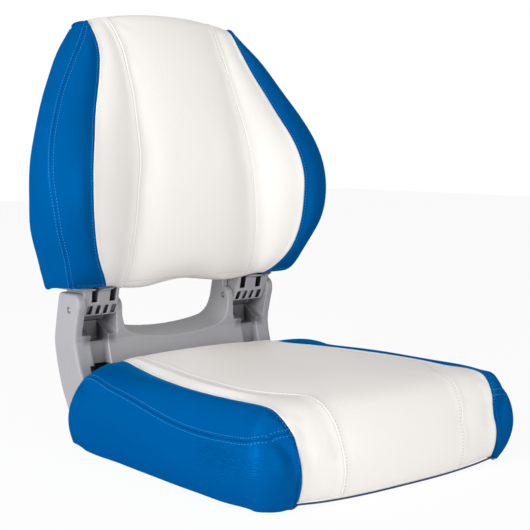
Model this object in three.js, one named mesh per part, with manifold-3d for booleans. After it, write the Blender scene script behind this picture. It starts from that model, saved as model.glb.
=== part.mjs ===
// Folding boat seat: a moulded seat frame with two hinge towers and a grab rail, a moulded
// back frame with two cored hinge arms, and vinyl covered cushions on boards.
// Millimetres, +Z up, the sitter faces -Y. The origin is the centre of the pedestal bolt
// pattern on the underside of the seat frame, and the seat stands on Z = 0.
import * as THREE from 'three';
import { mergeVertices } from 'three/addons/utils/BufferGeometryUtils.js';
import Module from 'manifold-3d';

const wasm = await Module();
wasm.setup();

// Clearances, tool overrun and round-off shared by every piece.
const fit = 0.3;
const overrun = 20;
const seamGap = 0.4;
const vinylThickness = 1.3;
const roundSteps = 20;
const smallRoundSteps = 12;

// Hinge: the pin axis runs along X behind the cushions, a little below the top of the towers.
const towerHeight = 204;
const pivotDrop = 23.5;
const pivotY = 232;
const pivotZ = towerHeight - pivotDrop;
const pinRadius = 3.8;
const pinChamfer = 0.8;
const pinDimpleRadius = 5.2;
const pinDimpleDepth = 0.9;
const armCentreX = 133.75;
const armWidth = 52.7;
const armClearance = 0.4;
const barrelRadius = 19.3;
const outerCheekWidth = 11.5;
const innerCheekWidth = 12.5;
const innerCheekRadius = 13.5;
const innerCheekFoot = 30.5;

const armInnerX = armCentreX - armWidth / 2;
const armOuterX = armCentreX + armWidth / 2;
const pocketInnerX = armInnerX - armClearance;
const pocketOuterX = armOuterX + armClearance;
const towerOuterX = pocketOuterX + outerCheekWidth;
const towerInnerX = pocketInnerX - innerCheekWidth;

// Seat frame: tower profile, rail and pan.
const towerFrontY = 201;
const towerDepth = 68.5;
const towerEdgeRound = 4;
const towerTopFrontRound = 13;
const railFrontRise = pivotZ - 47.5;
const railFlatHalf = 70;
const railBow = 6.5;
const railCornerRise = 34;
const railTilt = THREE.MathUtils.degToRad(10.5);
const rearWallY = 251.8;
const ledgeFrontZ = pivotZ - 35.5;
const ledgeRearZ = pivotZ - 19.5;
const ledgeRearY = 247;
const ledgeFrontY = 220;
const slotInnerX = 120;
const slotOuterX = 148;
const slotRearY = 247;
const webTopZ = pivotZ - 45.5;
const webFrontY = 228;
const coreTopZ = pivotZ - 76.5;
const coreFloorZ = 16;
const frameWall = 4;
const ribThickness = 3;
const railCoreCount = 4;

const panTop = 13.7;
const panPlate = 3;
const panRearY = 170;
const panFrontY = -192;
const seatHalf = 220;
const panHalfRear = seatHalf - 70;
const panHalfFront = seatHalf - 54;
const panCorner = 34;
const panRim = 5;
const panPitch = 44;
const boltPitch = 127;
const bossRadius = 9;
const insertRadius = 6;
const insertBore = 3.4;
const insertLength = 11;
const centreBossRadius = 16;

const neckShare = 0.785;
const neckHalfWidth = Math.min(towerOuterX, neckShare * seatHalf);
const neckCellCount = 7;
const boardThickness = 10;

// Screws that hold the boards to the frames.
const screwHeadRadius = 4;
const screwHeadTopShare = 0.7;
const screwHeadHeight = 2.2;
const screwRadius = 2;
const screwLength = 12;
const screwTipLength = 3;
const seatScrewInset = 40;
const seatScrewX = panHalfRear - seatScrewInset;
const seatScrewFrontY = -110;
const seatScrewRearY = 110;

// Seat cushion.
const seatRearY = 188;
const seatDepth = 413;
const seatHeight = 120;
const seatSkirtZ = 3;
const seatCrown = 3;
const seatStripPlump = 1.5;
const seatShoulderPlump = 16;
const seatEndMid = 4;
const seatFrontTuck = 5;
const seatFrontBow = 5;
const seatBowStart = 0.85;
const bindingRadius = 1.2;
const bindingSides = 5;
const bindingSteps = 56;

// Back cushion.
const backGap = 9;
const backBottomZ = towerHeight + backGap;
const backHeight = 357;
const backTopLift = 13.2;
const backHalf = 240;
const backFrontY = 150;
const backRake = 106;
const backCrown = 4;
const backStripPlump = 2;
const backBolsterPlump = 7;
const backRearSpan = 374;
const backRearY = 224;
const backRearRake = 71;
const backEdgeMid = 4;
const backBottomMid = 1.4;
const backTopMid = 1.2;
const backTuck = -4;
const backBoardThickness = 8;
const backBoardInset = 16;
const backBoardBottomZ = backBottomZ + 79;
const backBoardTopZ = backBottomZ + 349;
const boardSteps = 14;

// Back frame: the moulded rear shell, its rim, and the belly plate under the cushion.
const shellWall = 3.6;
const shellRim = 8;
const shellDome = 14;
const shellDomeShares = { white: 0.92, blue: 0.6, crown: 0.08, shoulder: 0.15 };
const shellInset = 14;
const shellCornerInset = 14;
const bellyX = 140;
const bellyY = 240;
const bellyTop = backBottomZ - 2.2;
const bellyHalfWidth = 34;
const bellyHalfDepth = 48;
const bellySag = 6.4;
const bellyRearY = 262;
const cheekSweepRadius = 31.6;
const rootTopZ = backBottomZ + 77;
const rootShoulderZ = backBottomZ + 25;
const rootLean = 12;
const rootRearZ = backBottomZ - 6;
const rootSteps = 6;
const windowTopBottomZ = pivotZ + 10.5;
const windowTopHeight = 26;
const windowTopWidth = 10;
const windowTopDepth = 28;
const windowTopShares = [0.12, 0.67];
const windowLowShares = [[0.05, 0.19], [0.27, 0.39], [0.48, 0.6], [0.71, 0.89]];
const windowLowBottomZ = pivotZ - 7;
const windowLowTopZ = pivotZ + 5.5;
const windowLowDepth = 9;
const windowLowLean = 5;
const backScrewX = 76;
const backScrewLowZ = backBottomZ + 117;
const backScrewHighZ = backBottomZ + 287;
const screwBossRadius = 7.5;

const materials = {
  plastic: { color: 0xa4a6a8, roughness: 0.5, metalness: 0 },
  white: { color: 0xf0eeea, roughness: 0.45, metalness: 0 },
  blue: { color: 0x0064ad, roughness: 0.38, metalness: 0 },
  darkBlue: { color: 0x123a70, roughness: 0.5, metalness: 0 },
  foam: { color: 0xe6dfc4, roughness: 0.95, metalness: 0 },
  board: { color: 0xb08a58, roughness: 0.8, metalness: 0 },
  steel: { color: 0xc4c6c8, roughness: 0.3, metalness: 0.9 },
  brass: { color: 0xb99548, roughness: 0.35, metalness: 0.9 },
};

// Solids from three.js geometry, and back again.
function solidOf(geometry) {
  const bare = geometry.index ? geometry.toNonIndexed() : geometry.clone();
  for (const name of Object.keys(bare.attributes)) {
    if (name !== 'position') bare.deleteAttribute(name);
  }
  const merged = mergeVertices(bare, 1e-4);
  const triangles = [];
  const index = merged.index.array;
  for (let i = 0; i < index.length; i += 3) {
    const [a, b, c] = [index[i], index[i + 1], index[i + 2]];
    if (a !== b && b !== c && c !== a) triangles.push(a, b, c);
  }
  return new wasm.Manifold(new wasm.Mesh({
    numProp: 3,
    vertProperties: new Float32Array(merged.attributes.position.array),
    triVerts: new Uint32Array(triangles),
  }));
}

function geometryOf(solid) {
  const mesh = solid.getMesh();
  const geometry = new THREE.BufferGeometry();
  geometry.setAttribute('position', new THREE.BufferAttribute(mesh.vertProperties, mesh.numProp));
  geometry.setIndex(new THREE.BufferAttribute(mesh.triVerts, 1));
  geometry.computeVertexNormals();
  return geometry;
}

function joined(solids) {
  return solids.reduce((total, next) => total.add(next));
}

// Extrusions of a closed outline along one axis. Each outline is a list of [a, b] pairs.
function outlineShape(points) {
  return new THREE.Shape(points.map(([a, b]) => new THREE.Vector2(a, b)));
}

const alongX = new THREE.Matrix4().makeBasis(
  new THREE.Vector3(0, 1, 0), new THREE.Vector3(0, 0, 1), new THREE.Vector3(1, 0, 0));
const alongY = new THREE.Matrix4().makeBasis(
  new THREE.Vector3(1, 0, 0), new THREE.Vector3(0, 0, 1), new THREE.Vector3(0, -1, 0));

function prismX(points, x0, x1, round = 0) {
  const depth = x1 - x0 - 2 * round;
  const options = round > 0
    ? { depth, bevelSize: round, bevelThickness: round, bevelOffset: -round, bevelSegments: 3 }
    : { depth, bevelEnabled: false };
  const geometry = new THREE.ExtrudeGeometry(outlineShape(points), options);
  geometry.applyMatrix4(alongX).translate(x0 + round, 0, 0);
  return solidOf(geometry);
}

function prismY(points, y0, y1) {
  const geometry = new THREE.ExtrudeGeometry(outlineShape(points), { depth: y1 - y0, bevelEnabled: false });
  geometry.applyMatrix4(alongY).translate(0, y1, 0);
  return solidOf(geometry);
}

function prismZ(points, z0, z1) {
  const geometry = new THREE.ExtrudeGeometry(outlineShape(points), { depth: z1 - z0, bevelEnabled: false });
  geometry.translate(0, 0, z0);
  return solidOf(geometry);
}

function box(x0, x1, y0, y1, z0, z1) {
  const geometry = new THREE.BoxGeometry(x1 - x0, y1 - y0, z1 - z0);
  geometry.translate((x0 + x1) / 2, (y0 + y1) / 2, (z0 + z1) / 2);
  return solidOf(geometry);
}

function rodZ(radius, x, y, z0, z1, steps = roundSteps) {
  const geometry = new THREE.CylinderGeometry(radius, radius, z1 - z0, steps);
  geometry.rotateX(Math.PI / 2).translate(x, y, (z0 + z1) / 2);
  return solidOf(geometry);
}

function rodX(radius, x0, x1, y, z, steps = roundSteps) {
  const geometry = new THREE.CylinderGeometry(radius, radius, x1 - x0, steps);
  geometry.rotateZ(Math.PI / 2).translate((x0 + x1) / 2, y, z);
  return solidOf(geometry);
}

function rodY(radius, x, y0, y1, z, steps = smallRoundSteps) {
  const geometry = new THREE.CylinderGeometry(radius, radius, y1 - y0, steps);
  geometry.translate(x, (y0 + y1) / 2, z);
  return solidOf(geometry);
}

// The same span on the left and on the right, as [from, to] pairs along X.
function bothSides(near, far) {
  return [[near, far], [-far, -near]];
}

function splinePoints(points, count) {
  return new THREE.SplineCurve(points.map(([a, b]) => new THREE.Vector2(a, b)))
    .getPoints(count).map((point) => [point.x, point.y]);
}

function arcPoints(a, b, radius, fromAngle, toAngle, count) {
  return Array.from({ length: count + 1 }, (_, n) => {
    const angle = fromAngle + (toAngle - fromAngle) * n / count;
    return [a + radius * Math.cos(angle), b + radius * Math.sin(angle)];
  });
}

const lerp = THREE.MathUtils.lerp;

// Cushion skins. A skin is a grid of rows by columns with a skirt of rings round its edge.
// The columns follow the seams: centre panel, strip, and blue panel on each side.
const centreColumns = 3;
const stripColumns = 2;
const blueColumns = 3;
const sideColumns = centreColumns + stripColumns + blueColumns;
const columnCount = 2 * sideColumns;
const skirtShares = [0.2, 0.5, 0.8, 1];

// One point of a row: column counts outwards from the middle line.
function rowPoint(row, column, plump) {
  const side = Math.sign(column);
  const step = Math.abs(column);
  let p;
  let h;
  if (step <= centreColumns) {
    const t = step / centreColumns;
    p = row.white[0] * t;
    h = row.white[1] + plump.centre * row.fullness * (1 - t * t);
  } else if (step <= centreColumns + stripColumns) {
    const t = (step - centreColumns) / stripColumns;
    p = lerp(row.white[0], row.blue[0], t);
    h = lerp(row.white[1], row.blue[1], t) + plump.strip * row.fullness * 4 * t * (1 - t);
  } else {
    const t = (step - centreColumns - stripColumns) / blueColumns;
    p = lerp(row.blue[0], row.edge[0], t);
    h = lerp(row.blue[1], row.edge[1], t) + plump.blue * row.bolster * 4 * t * (1 - t);
  }
  const across = p / row.blue[0];
  return [side * p, row.along + row.lift * (1 - across * across), h];
}

function panelOf(column) {
  const step = Math.abs(column + 0.5);
  if (step < centreColumns) return 'centre';
  const side = column < 0 ? 'left' : 'right';
  return (step < centreColumns + stripColumns ? 'strip_' : 'top_') + side;
}

// A skin in its own (p, q, h) space: p across, q along the rows, h outwards.
function cushionSkin(rows, plump, base, ends) {
  const points = [];
  const quads = [];
  const rowCount = rows.length - 1;
  const at = (row, column) => row * (columnCount + 1) + column;
  for (const row of rows) {
    for (let column = -sideColumns; column <= sideColumns; column += 1) {
      points.push(rowPoint(row, column, plump));
    }
  }
  for (let row = 0; row < rowCount; row += 1) {
    for (let column = 0; column < columnCount; column += 1) {
      quads.push({
        corners: [at(row, column), at(row, column + 1), at(row + 1, column + 1), at(row + 1, column)],
        panel: panelOf(column - sideColumns),
      });
    }
  }
  const loop = [];
  const add = (row, column) => {
    const fromCorner = Math.min(column, columnCount - column) / blueColumns;
    const inward = Math.sqrt(Math.min(1, fromCorner));
    const end = row === 0 ? ends.first : ends.last;
    const mid = lerp(rows[row].mid, row === 0 || row === rowCount ? end.mid : rows[row].mid, inward);
    const tuck = lerp(rows[row].tuck, row === 0 || row === rowCount ? end.tuck : rows[row].tuck, inward);
    loop.push({ index: at(row, column), row, column, mid, tuck });
  };
  for (let column = 0; column < columnCount; column += 1) add(0, column);
  for (let row = 0; row < rowCount; row += 1) add(row, columnCount);
  for (let column = columnCount; column > 0; column -= 1) add(rowCount, column);
  for (let row = rowCount; row > 0; row -= 1) add(row, 0);
  const turn = rows[rowCount].along > rows[0].along ? 1 : -1;
  const outward = loop.map((_, n) => {
    const before = points[loop[(n + loop.length - 1) % loop.length].index];
    const after = points[loop[(n + 1) % loop.length].index];
    const along = new THREE.Vector2(after[0] - before[0], after[1] - before[1]).normalize();
    return [turn * along.y, -turn * along.x];
  });
  let above = loop.map((item) => item.index);
  for (const share of skirtShares) {
    const ring = loop.map((item, n) => {
      const [p, q, h] = points[item.index];
      const reach = 4 * item.mid * share * (1 - share) + item.tuck * share * (2 * share - 1);
      const moved = [p + outward[n][0] * reach, q + outward[n][1] * reach];
      points.push([...moved, lerp(h, base(moved[1]), share)]);
      return points.length - 1;
    });
    for (let n = 0; n < loop.length; n += 1) {
      const next = (n + 1) % loop.length;
      const onEnd = loop[n].row === loop[next].row;
      const column = Math.min(loop[n].column, loop[next].column) - sideColumns;
      const panel = onEnd ? panelOf(column) : 'side';
      const side = loop[n].column * 2 < columnCount ? 'left' : 'right';
      const edge = panel === 'side' || panel.startsWith('top_') ? `side_${side}` : panel;
      quads.push({ corners: [above[next], above[n], ring[n], ring[next]], panel: edge });
    }
    above = ring;
  }
  const hem = above.map((index, n) => ({ index, row: loop[n].row, column: loop[n].column }));
  return { points, quads, hem, rowCount, turn };
}

// Places a skin in the part's frame and finds its outward vertex normals.
function placedSkin(skin, place, mirrored) {
  const vertices = skin.points.map(place);
  const normals = vertices.map(() => new THREE.Vector3());
  const quads = skin.quads.map(({ corners: given, panel }) => {
    const corners = mirrored ? [...given].reverse() : given;
    const [a, b, c, d] = corners.map((n) => vertices[n]);
    const face = c.clone().sub(a).cross(d.clone().sub(b)).normalize();
    corners.forEach((n) => normals[n].add(face));
    return { corners, panel, face };
  });
  normals.forEach((normal) => normal.normalize());
  return { ...skin, vertices, quads, normals, mirrored };
}

function facetedSolid(triangles) {
  const positions = new Float32Array(triangles.flatMap((point) => [point.x, point.y, point.z]));
  const geometry = new THREE.BufferGeometry();
  geometry.setAttribute('position', new THREE.BufferAttribute(positions, 3));
  return solidOf(geometry);
}

function quadTriangles([a, b, c, d]) {
  return [a, b, c, a, c, d];
}

// A sheet of even thickness that follows some of a skin's quads, drawn in by half a seam gap.
function sheetSolid(skin, wanted, thickness, gap) {
  const quads = skin.quads.filter(({ panel }) => wanted(panel));
  const edges = new Map();
  for (const { corners, face } of quads) {
    corners.forEach((a, n) => {
      const b = corners[(n + 1) % 4];
      const back = `${b}_${a}`;
      if (edges.has(back)) edges.delete(back);
      else edges.set(`${a}_${b}`, [a, b, face]);
    });
  }
  const shift = new Map();
  for (const [a, b, face] of edges.values()) {
    const along = skin.vertices[b].clone().sub(skin.vertices[a]).normalize();
    const inward = face.clone().cross(along).normalize();
    for (const end of [a, b]) {
      shift.set(end, (shift.get(end) ?? new THREE.Vector3()).add(inward));
    }
  }
  const outer = (n) => {
    const move = shift.get(n)?.clone().normalize().multiplyScalar(gap / 2);
    return skin.vertices[n].clone().add(move ?? new THREE.Vector3());
  };
  const inner = (n) => outer(n).addScaledVector(skin.normals[n], -thickness);
  const triangles = [];
  for (const { corners } of quads) {
    triangles.push(...quadTriangles(corners).map(outer));
    triangles.push(...quadTriangles(corners).reverse().map(inner));
  }
  for (const [a, b] of edges.values()) {
    triangles.push(outer(b), outer(a), inner(a), outer(b), inner(a), inner(b));
  }
  return facetedSolid(triangles);
}

// The filling behind a skin, drawn in by a depth and closed across its hem row by row.
function fillingSolid(skin, depth) {
  const inside = (n) => skin.vertices[n].clone().addScaledVector(skin.normals[n], -depth);
  const triangles = skin.quads.flatMap(({ corners }) => quadTriangles(corners).map(inside));
  const rowOf = (row) => skin.hem.filter((item) => item.row === row)
    .sort((one, other) => one.column - other.column).map((item) => item.index);
  const close = (a, b, c) => triangles.push(...(skin.mirrored ? [a, b, c] : [c, b, a]).map(inside));
  for (let row = 0; row < skin.rowCount; row += 1) {
    const near = rowOf(row);
    const far = rowOf(row + 1);
    const nearMiddle = Math.floor((near.length - 1) / 2);
    const farMiddle = Math.floor((far.length - 1) / 2);
    for (let n = 0; n < nearMiddle; n += 1) close(near[n], near[n + 1], far[0]);
    const farEnd = far[far.length - 1];
    for (let n = near.length - 1; n > nearMiddle + 1; n -= 1) close(near[n - 1], near[n], farEnd);
    for (let n = 0; n < farMiddle; n += 1) close(near[nearMiddle], far[n + 1], far[n]);
    for (let n = far.length - 1; n > farMiddle + 1; n -= 1) {
      close(near[nearMiddle + 1], far[n], far[n - 1]);
    }
    close(near[nearMiddle], near[nearMiddle + 1], far[farMiddle]);
    close(near[nearMiddle + 1], far[farMiddle + 1], far[farMiddle]);
  }
  return facetedSolid(triangles);
}

// Seat cushion rows from the rear edge to the foot of the waterfall front. Each row gives, as
// shares: along the depth; the white seam across and up; the blue seam across and up; the side
// seam across and up; fullness; the bolster's own fullness; and the side's swell and tuck in
// shares of the seat height.
const seatRowShares = [
  [0, 0.468, 0.9, 0.591, 0.867, 0.823, 0.767, 0.3, 0.175, 0.168, 0.103],
  [0.024, 0.473, 0.958, 0.595, 0.925, 0.853, 0.817, 0.6, 0.29, 0.158, 0.016],
  [0.068, 0.486, 0.983, 0.609, 0.962, 0.898, 0.867, 1, 0.46, 0.093, -0.051],
  [0.14, 0.509, 0.992, 0.632, 0.958, 0.931, 0.9, 1, 0.5, 0.048, -0.091],
  [0.225, 0.545, 1, 0.673, 0.948, 0.939, 0.842, 1, 0.54, 0.034, -0.1],
  [0.334, 0.595, 1, 0.736, 0.95, 0.953, 0.792, 1, 0.66, 0.038, -0.096],
  [0.455, 0.636, 0.992, 0.791, 0.955, 0.97, 0.729, 1, 0.82, 0.041, -0.097],
  [0.576, 0.668, 0.992, 0.814, 0.946, 0.988, 0.671, 1, 0.98, 0.048, -0.098],
  [0.697, 0.684, 0.992, 0.814, 0.94, 0.996, 0.642, 1, 1.08, 0.052, -0.094],
  [0.794, 0.641, 0.988, 0.818, 0.948, 1.005, 0.65, 1, 1, 0.05, -0.094],
  [0.862, 0.55, 0.983, 0.818, 0.955, 1.005, 0.663, 1, 0.84, 0.042, -0.116],
  [0.91, 0.518, 0.967, 0.814, 0.944, 0.997, 0.675, 0.9, 0.77, 0.053, -0.11],
  [0.949, 0.507, 0.892, 0.807, 0.88, 0.962, 0.696, 0.7, 0.79, 0.067, -0.085],
  [0.976, 0.495, 0.767, 0.791, 0.785, 0.885, 0.715, 0.4, 0.66, 0.095, -0.008],
  [0.99, 0.486, 0.642, 0.773, 0.655, 0.832, 0.62, 0.3, 0.48, 0.075, 0],
  [1, 0.475, 0.5, 0.764, 0.51, 0.8, 0.49, 0.3, 0.34, 0.036, 0],
];
const seatRows = seatRowShares.map(([d, wx, wz, bx, bz, ex, ez, fullness, bolster, mid, tuck]) => ({
  along: seatRearY - d * seatDepth,
  lift: -seatFrontBow * THREE.MathUtils.smoothstep(d, seatBowStart, 1),
  white: [wx * seatHalf, wz * seatHeight],
  blue: [bx * seatHalf, bz * seatHeight],
  edge: [ex * seatHalf, ez * seatHeight],
  fullness,
  bolster,
  mid: mid * seatHeight,
  tuck: tuck * seatHeight,
}));
const seatSkin = placedSkin(
  cushionSkin(
    seatRows,
    { centre: seatCrown, strip: seatStripPlump, blue: seatShoulderPlump },
    () => seatSkirtZ,
    { first: { mid: seatEndMid, tuck: 0 }, last: { mid: seatEndMid, tuck: seatFrontTuck } },
  ),
  ([p, q, h]) => new THREE.Vector3(p, q, h),
  true,
);

// Back cushion rows from the bottom edge to the top edge, as shares: up the height; lift of the
// middle; the white, blue and side seams across and back; fullness; and the side's swell and tuck.
const backRowShares = [
  [0, 0.05, 0.463, 0.472, 0.625, 0.396, 0.785, 0.466, 0.3, 0.35, 1],
  [0.017, 0.05, 0.463, 0.396, 0.629, 0.302, 0.819, 0.39, 0.6, 0.93, 0.7],
  [0.056, 0, 0.463, 0.302, 0.663, 0.189, 0.852, 0.317, 0.9, 0.85, 0.75],
  [0.118, 0, 0.458, 0.236, 0.713, 0.094, 0.89, 0.232, 1, 0.83, 1.05],
  [0.216, 0, 0.446, 0.179, 0.754, 0.028, 0.959, 0.122, 1, 0.85, 1],
  [0.314, 0, 0.433, 0.16, 0.769, 0.005, 0.992, 0.094, 1, 0.93, 1],
  [0.398, 0, 0.421, 0.16, 0.771, 0, 1.003, 0.125, 1, 1.03, 1.05],
  [0.482, 0, 0.404, 0.179, 0.754, 0.047, 0.99, 0.185, 1, 1.13, 0.92],
  [0.566, 0, 0.396, 0.245, 0.717, 0.142, 0.953, 0.278, 1, 1.28, 1.03],
  [0.65, 0, 0.383, 0.34, 0.667, 0.292, 0.893, 0.394, 1, 1.48, 0.95],
  [0.734, 0.04, 0.371, 0.443, 0.613, 0.415, 0.821, 0.522, 1, 1.42, 1.08],
  [0.812, 0.12, 0.367, 0.557, 0.563, 0.538, 0.747, 0.614, 0.9, 1.58, 1.08],
  [0.884, 0.38, 0.363, 0.67, 0.529, 0.651, 0.678, 0.696, 0.7, 1.8, 0.92],
  [0.942, 0.62, 0.367, 0.802, 0.517, 0.774, 0.607, 0.799, 0.5, 1.55, 0.9],
  [0.983, 0.88, 0.379, 0.906, 0.517, 0.887, 0.56, 0.888, 0.3, 0.75, 1.25],
  [1.006, 1, 0.388, 1, 0.513, 1, 0.533, 0.989, 0.2, 0.3, 1.5],
];
// The line of the cushion's rear edge, from bottom to top, as even shares of its rake.
const backRearShares = [0.465, 0.43, 0.24, 0.066, 0, 0.04, 0.205, 0.462, 0.697, 0.894, 1];

function backRearAt(z) {
  const last = backRearShares.length - 1;
  const place = THREE.MathUtils.clamp((z - backBottomZ) / backRearSpan, 0, 1) * last;
  const n = Math.min(last - 1, Math.floor(place));
  const t = place - n;
  const value = (k) => backRearShares[THREE.MathUtils.clamp(k, 0, last)];
  const [a, b, c, d] = [value(n - 1), value(n), value(n + 1), value(n + 2)];
  const share = b + t * (c - a) / 2 + t * t * (a - 2.5 * b + 2 * c - d / 2)
    + t * t * t * (1.5 * (b - c) + (d - a) / 2);
  return backRearY + backRearRake * share;
}

// Points of that line between two heights, as [y, z] pairs.
function backRearLine(fromZ, toZ, steps) {
  return Array.from({ length: steps + 1 }, (_, n) => lerp(fromZ, toZ, n / steps))
    .map((z) => [backRearAt(z), z]);
}

const backRows = backRowShares.map(([u, lift, wx, wy, bx, by, ex, ey, fullness, mid, tuck]) => ({
  along: backBottomZ + u * backHeight,
  lift: lift * backTopLift,
  white: [wx * backHalf, -(backFrontY + wy * backRake)],
  blue: [bx * backHalf, -(backFrontY + by * backRake)],
  edge: [ex * backHalf, -(backFrontY + ey * backRake)],
  fullness,
  bolster: fullness,
  mid: mid * backEdgeMid,
  tuck: tuck * backTuck,
}));
const backSkin = placedSkin(
  cushionSkin(
    backRows,
    { centre: backCrown, strip: backStripPlump, blue: backBolsterPlump },
    (q) => -backRearAt(q),
    { first: { mid: backBottomMid, tuck: backTuck }, last: { mid: backTopMid, tuck: backTuck } },
  ),
  ([p, q, h]) => new THREE.Vector3(p, -h, q),
  false,
);

// Seat frame outline tools.
const towerRearShares = [
  [0.2, 0], [0.497, 0.162], [0.847, 0.382], [1, 0.627], [0.949, 0.784], [0.817, 0.985],
];
const towerFrontShares = [
  [0.1, 0.9], [0.165, 0.824], [0.25, 0.672], [0.12, 0.51], [0.02, 0.43], [0, 0.3], [0, 0],
];
const towerPoint = ([a, b]) => [towerFrontY + a * towerDepth, b * towerHeight];
const towerCurveSteps = 18;

function towerProfile() {
  const rear = splinePoints(towerRearShares.map(towerPoint), towerCurveSteps);
  const front = splinePoints(towerFrontShares.map(towerPoint), towerCurveSteps);
  const [frontTopY] = front[0];
  const corner = arcPoints(frontTopY + towerTopFrontRound, towerHeight - towerTopFrontRound,
    towerTopFrontRound, Math.PI / 2, Math.PI, 5);
  return [...rear, [rear[rear.length - 1][0] - towerEdgeRound, towerHeight], ...corner, ...front];
}

// The gap over the grab rail, seen from the front: a shallow bow with round corners.
function grabOutline() {
  const bowStart = railFrontRise + railBow;
  const half = new THREE.Path();
  half.moveTo(0, railFrontRise);
  half.quadraticCurveTo(railFlatHalf / 2, railFrontRise, railFlatHalf, bowStart);
  const lean = railBow * 2 / railFlatHalf * (towerInnerX - railFlatHalf);
  half.quadraticCurveTo(towerInnerX, bowStart + lean, towerInnerX, bowStart + railCornerRise);
  const right = half.getPoints(7).map((point) => [point.x, point.y]);
  const left = right.slice(1).reverse().map(([x, z]) => [-x, z]);
  const top = towerHeight + overrun;
  return [[-towerInnerX, top], ...left, ...right, [towerInnerX, top]].reverse();
}

function panOutline(grow) {
  const rear = panHalfRear + grow;
  const front = panHalfFront + grow;
  const r = panCorner;
  const shape = new THREE.Shape();
  shape.moveTo(-front + r, panFrontY - grow);
  shape.lineTo(front - r, panFrontY - grow);
  shape.quadraticCurveTo(front, panFrontY - grow, front, panFrontY - grow + r);
  shape.lineTo(rear, panRearY + grow - r);
  shape.quadraticCurveTo(rear, panRearY + grow, rear - r, panRearY + grow);
  shape.lineTo(-rear + r, panRearY + grow);
  shape.quadraticCurveTo(-rear, panRearY + grow, -rear, panRearY + grow - r);
  shape.lineTo(-front, panFrontY - grow + r);
  shape.quadraticCurveTo(-front, panFrontY - grow, -front + r, panFrontY - grow);
  return shape.getPoints(6).slice(0, -1).map((point) => [point.x, point.y]);
}

const boltSpots = [-1, 1].flatMap((side) => [-1, 1]
  .map((end) => [side * boltPitch / 2, end * boltPitch / 2]));
const seatScrewSpots = [-1, 1].flatMap((side) => [seatScrewFrontY, seatScrewRearY]
  .map((y) => [side * seatScrewX, y]));
const screwHole = screwRadius + fit;

// The ribbed pan: a plate with cells open to the underside and bosses for the pedestal bolts.
function pan() {
  let body = prismZ(panOutline(0), 0, panTop);
  const columns = Math.floor((panHalfRear - panRim) * 2 / panPitch);
  const rows = Math.floor((panRearY - panFrontY - 2 * panRim) / panPitch);
  const cellX = (2 * (panHalfRear - panRim) - (columns - 1) * ribThickness) / columns;
  const cellY = (panRearY - panFrontY - 2 * panRim - (rows - 1) * ribThickness) / rows;
  const inside = prismZ(panOutline(-panRim), -overrun, panTop - panPlate);
  const cells = [];
  for (let column = 0; column < columns; column += 1) {
    for (let row = 0; row < rows; row += 1) {
      const x = -panHalfRear + panRim + column * (cellX + ribThickness);
      const y = panFrontY + panRim + row * (cellY + ribThickness);
      cells.push(box(x, x + cellX, y, y + cellY, -overrun, panTop - panPlate));
    }
  }
  body = body.subtract(joined(cells).intersect(inside));
  const bosses = boltSpots.map(([x, y]) => rodZ(bossRadius, x, y, 0, panTop));
  return joined([body, ...bosses, rodZ(centreBossRadius, 0, 0, 0, panTop)]);
}

function towers() {
  const profile = towerProfile();
  let body = prismX(profile, -towerOuterX, towerOuterX, towerEdgeRound);
  const grabTool = prismY(grabOutline(), -towerDepth, towerDepth);
  const tilted = new THREE.Matrix4().makeTranslation(0, towerFrontY + towerDepth / 4, railFrontRise)
    .multiply(new THREE.Matrix4().makeRotationX(railTilt))
    .multiply(new THREE.Matrix4().makeTranslation(0, 0, -railFrontRise));
  body = body.subtract(solidOf(geometryOf(grabTool).applyMatrix4(tilted)));
  const quadrant = arcPoints(pivotY, pivotZ, innerCheekRadius, Math.PI / 2, Math.PI, 8);
  const aside = innerCheekRadius + overrun;
  const foot = pivotZ - innerCheekFoot;
  const innerCorner = [...quadrant, [pivotY - innerCheekRadius, foot], [pivotY - aside, foot],
    [pivotY - aside, pivotZ + aside], [pivotY, pivotZ + aside]];
  body = body.subtract(prismX(innerCorner, -pocketInnerX, pocketInnerX));
  const open = towerFrontY - overrun;
  const above = towerHeight + overrun;
  const pocket = [[open, ledgeFrontZ], [ledgeFrontY, ledgeFrontZ], [ledgeRearY, ledgeRearZ],
    [rearWallY, ledgeRearZ], [rearWallY, above], [open, above]];
  const rear = splinePoints(towerRearShares.map(towerPoint), towerCurveSteps)
    .map(([y, z]) => [y - frameWall, z]).filter(([, z]) => z > coreFloorZ && z < coreTopZ);
  const [[floorRearY]] = rear;
  const [topRearY] = rear[rear.length - 1];
  const core = [[open, coreFloorZ], [floorRearY, coreFloorZ], ...rear, [topRearY, coreTopZ],
    [open, coreTopZ]];
  const coreInset = (slotInnerX - pocketInnerX) / 2;
  for (const [near, far] of bothSides(pocketInnerX, pocketOuterX)) {
    body = body.subtract(prismX(pocket, near, far));
    body = body.subtract(prismX(core, near + coreInset, far - coreInset));
  }
  for (const [near, far] of bothSides(slotInnerX, slotOuterX)) {
    body = body.subtract(box(near, far, open, slotRearY, webTopZ, ledgeRearZ + overrun / 2));
    body = body.subtract(box(near, far, open, webFrontY, coreTopZ - fit, webTopZ + fit));
  }
  const railSpan = 2 * (towerInnerX - frameWall);
  const cell = (railSpan - (railCoreCount - 1) * ribThickness) / railCoreCount;
  for (let n = 0; n < railCoreCount; n += 1) {
    const x = -railSpan / 2 + n * (cell + ribThickness);
    body = body.subtract(prismX(core, x, x + cell));
  }
  return body;
}

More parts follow.
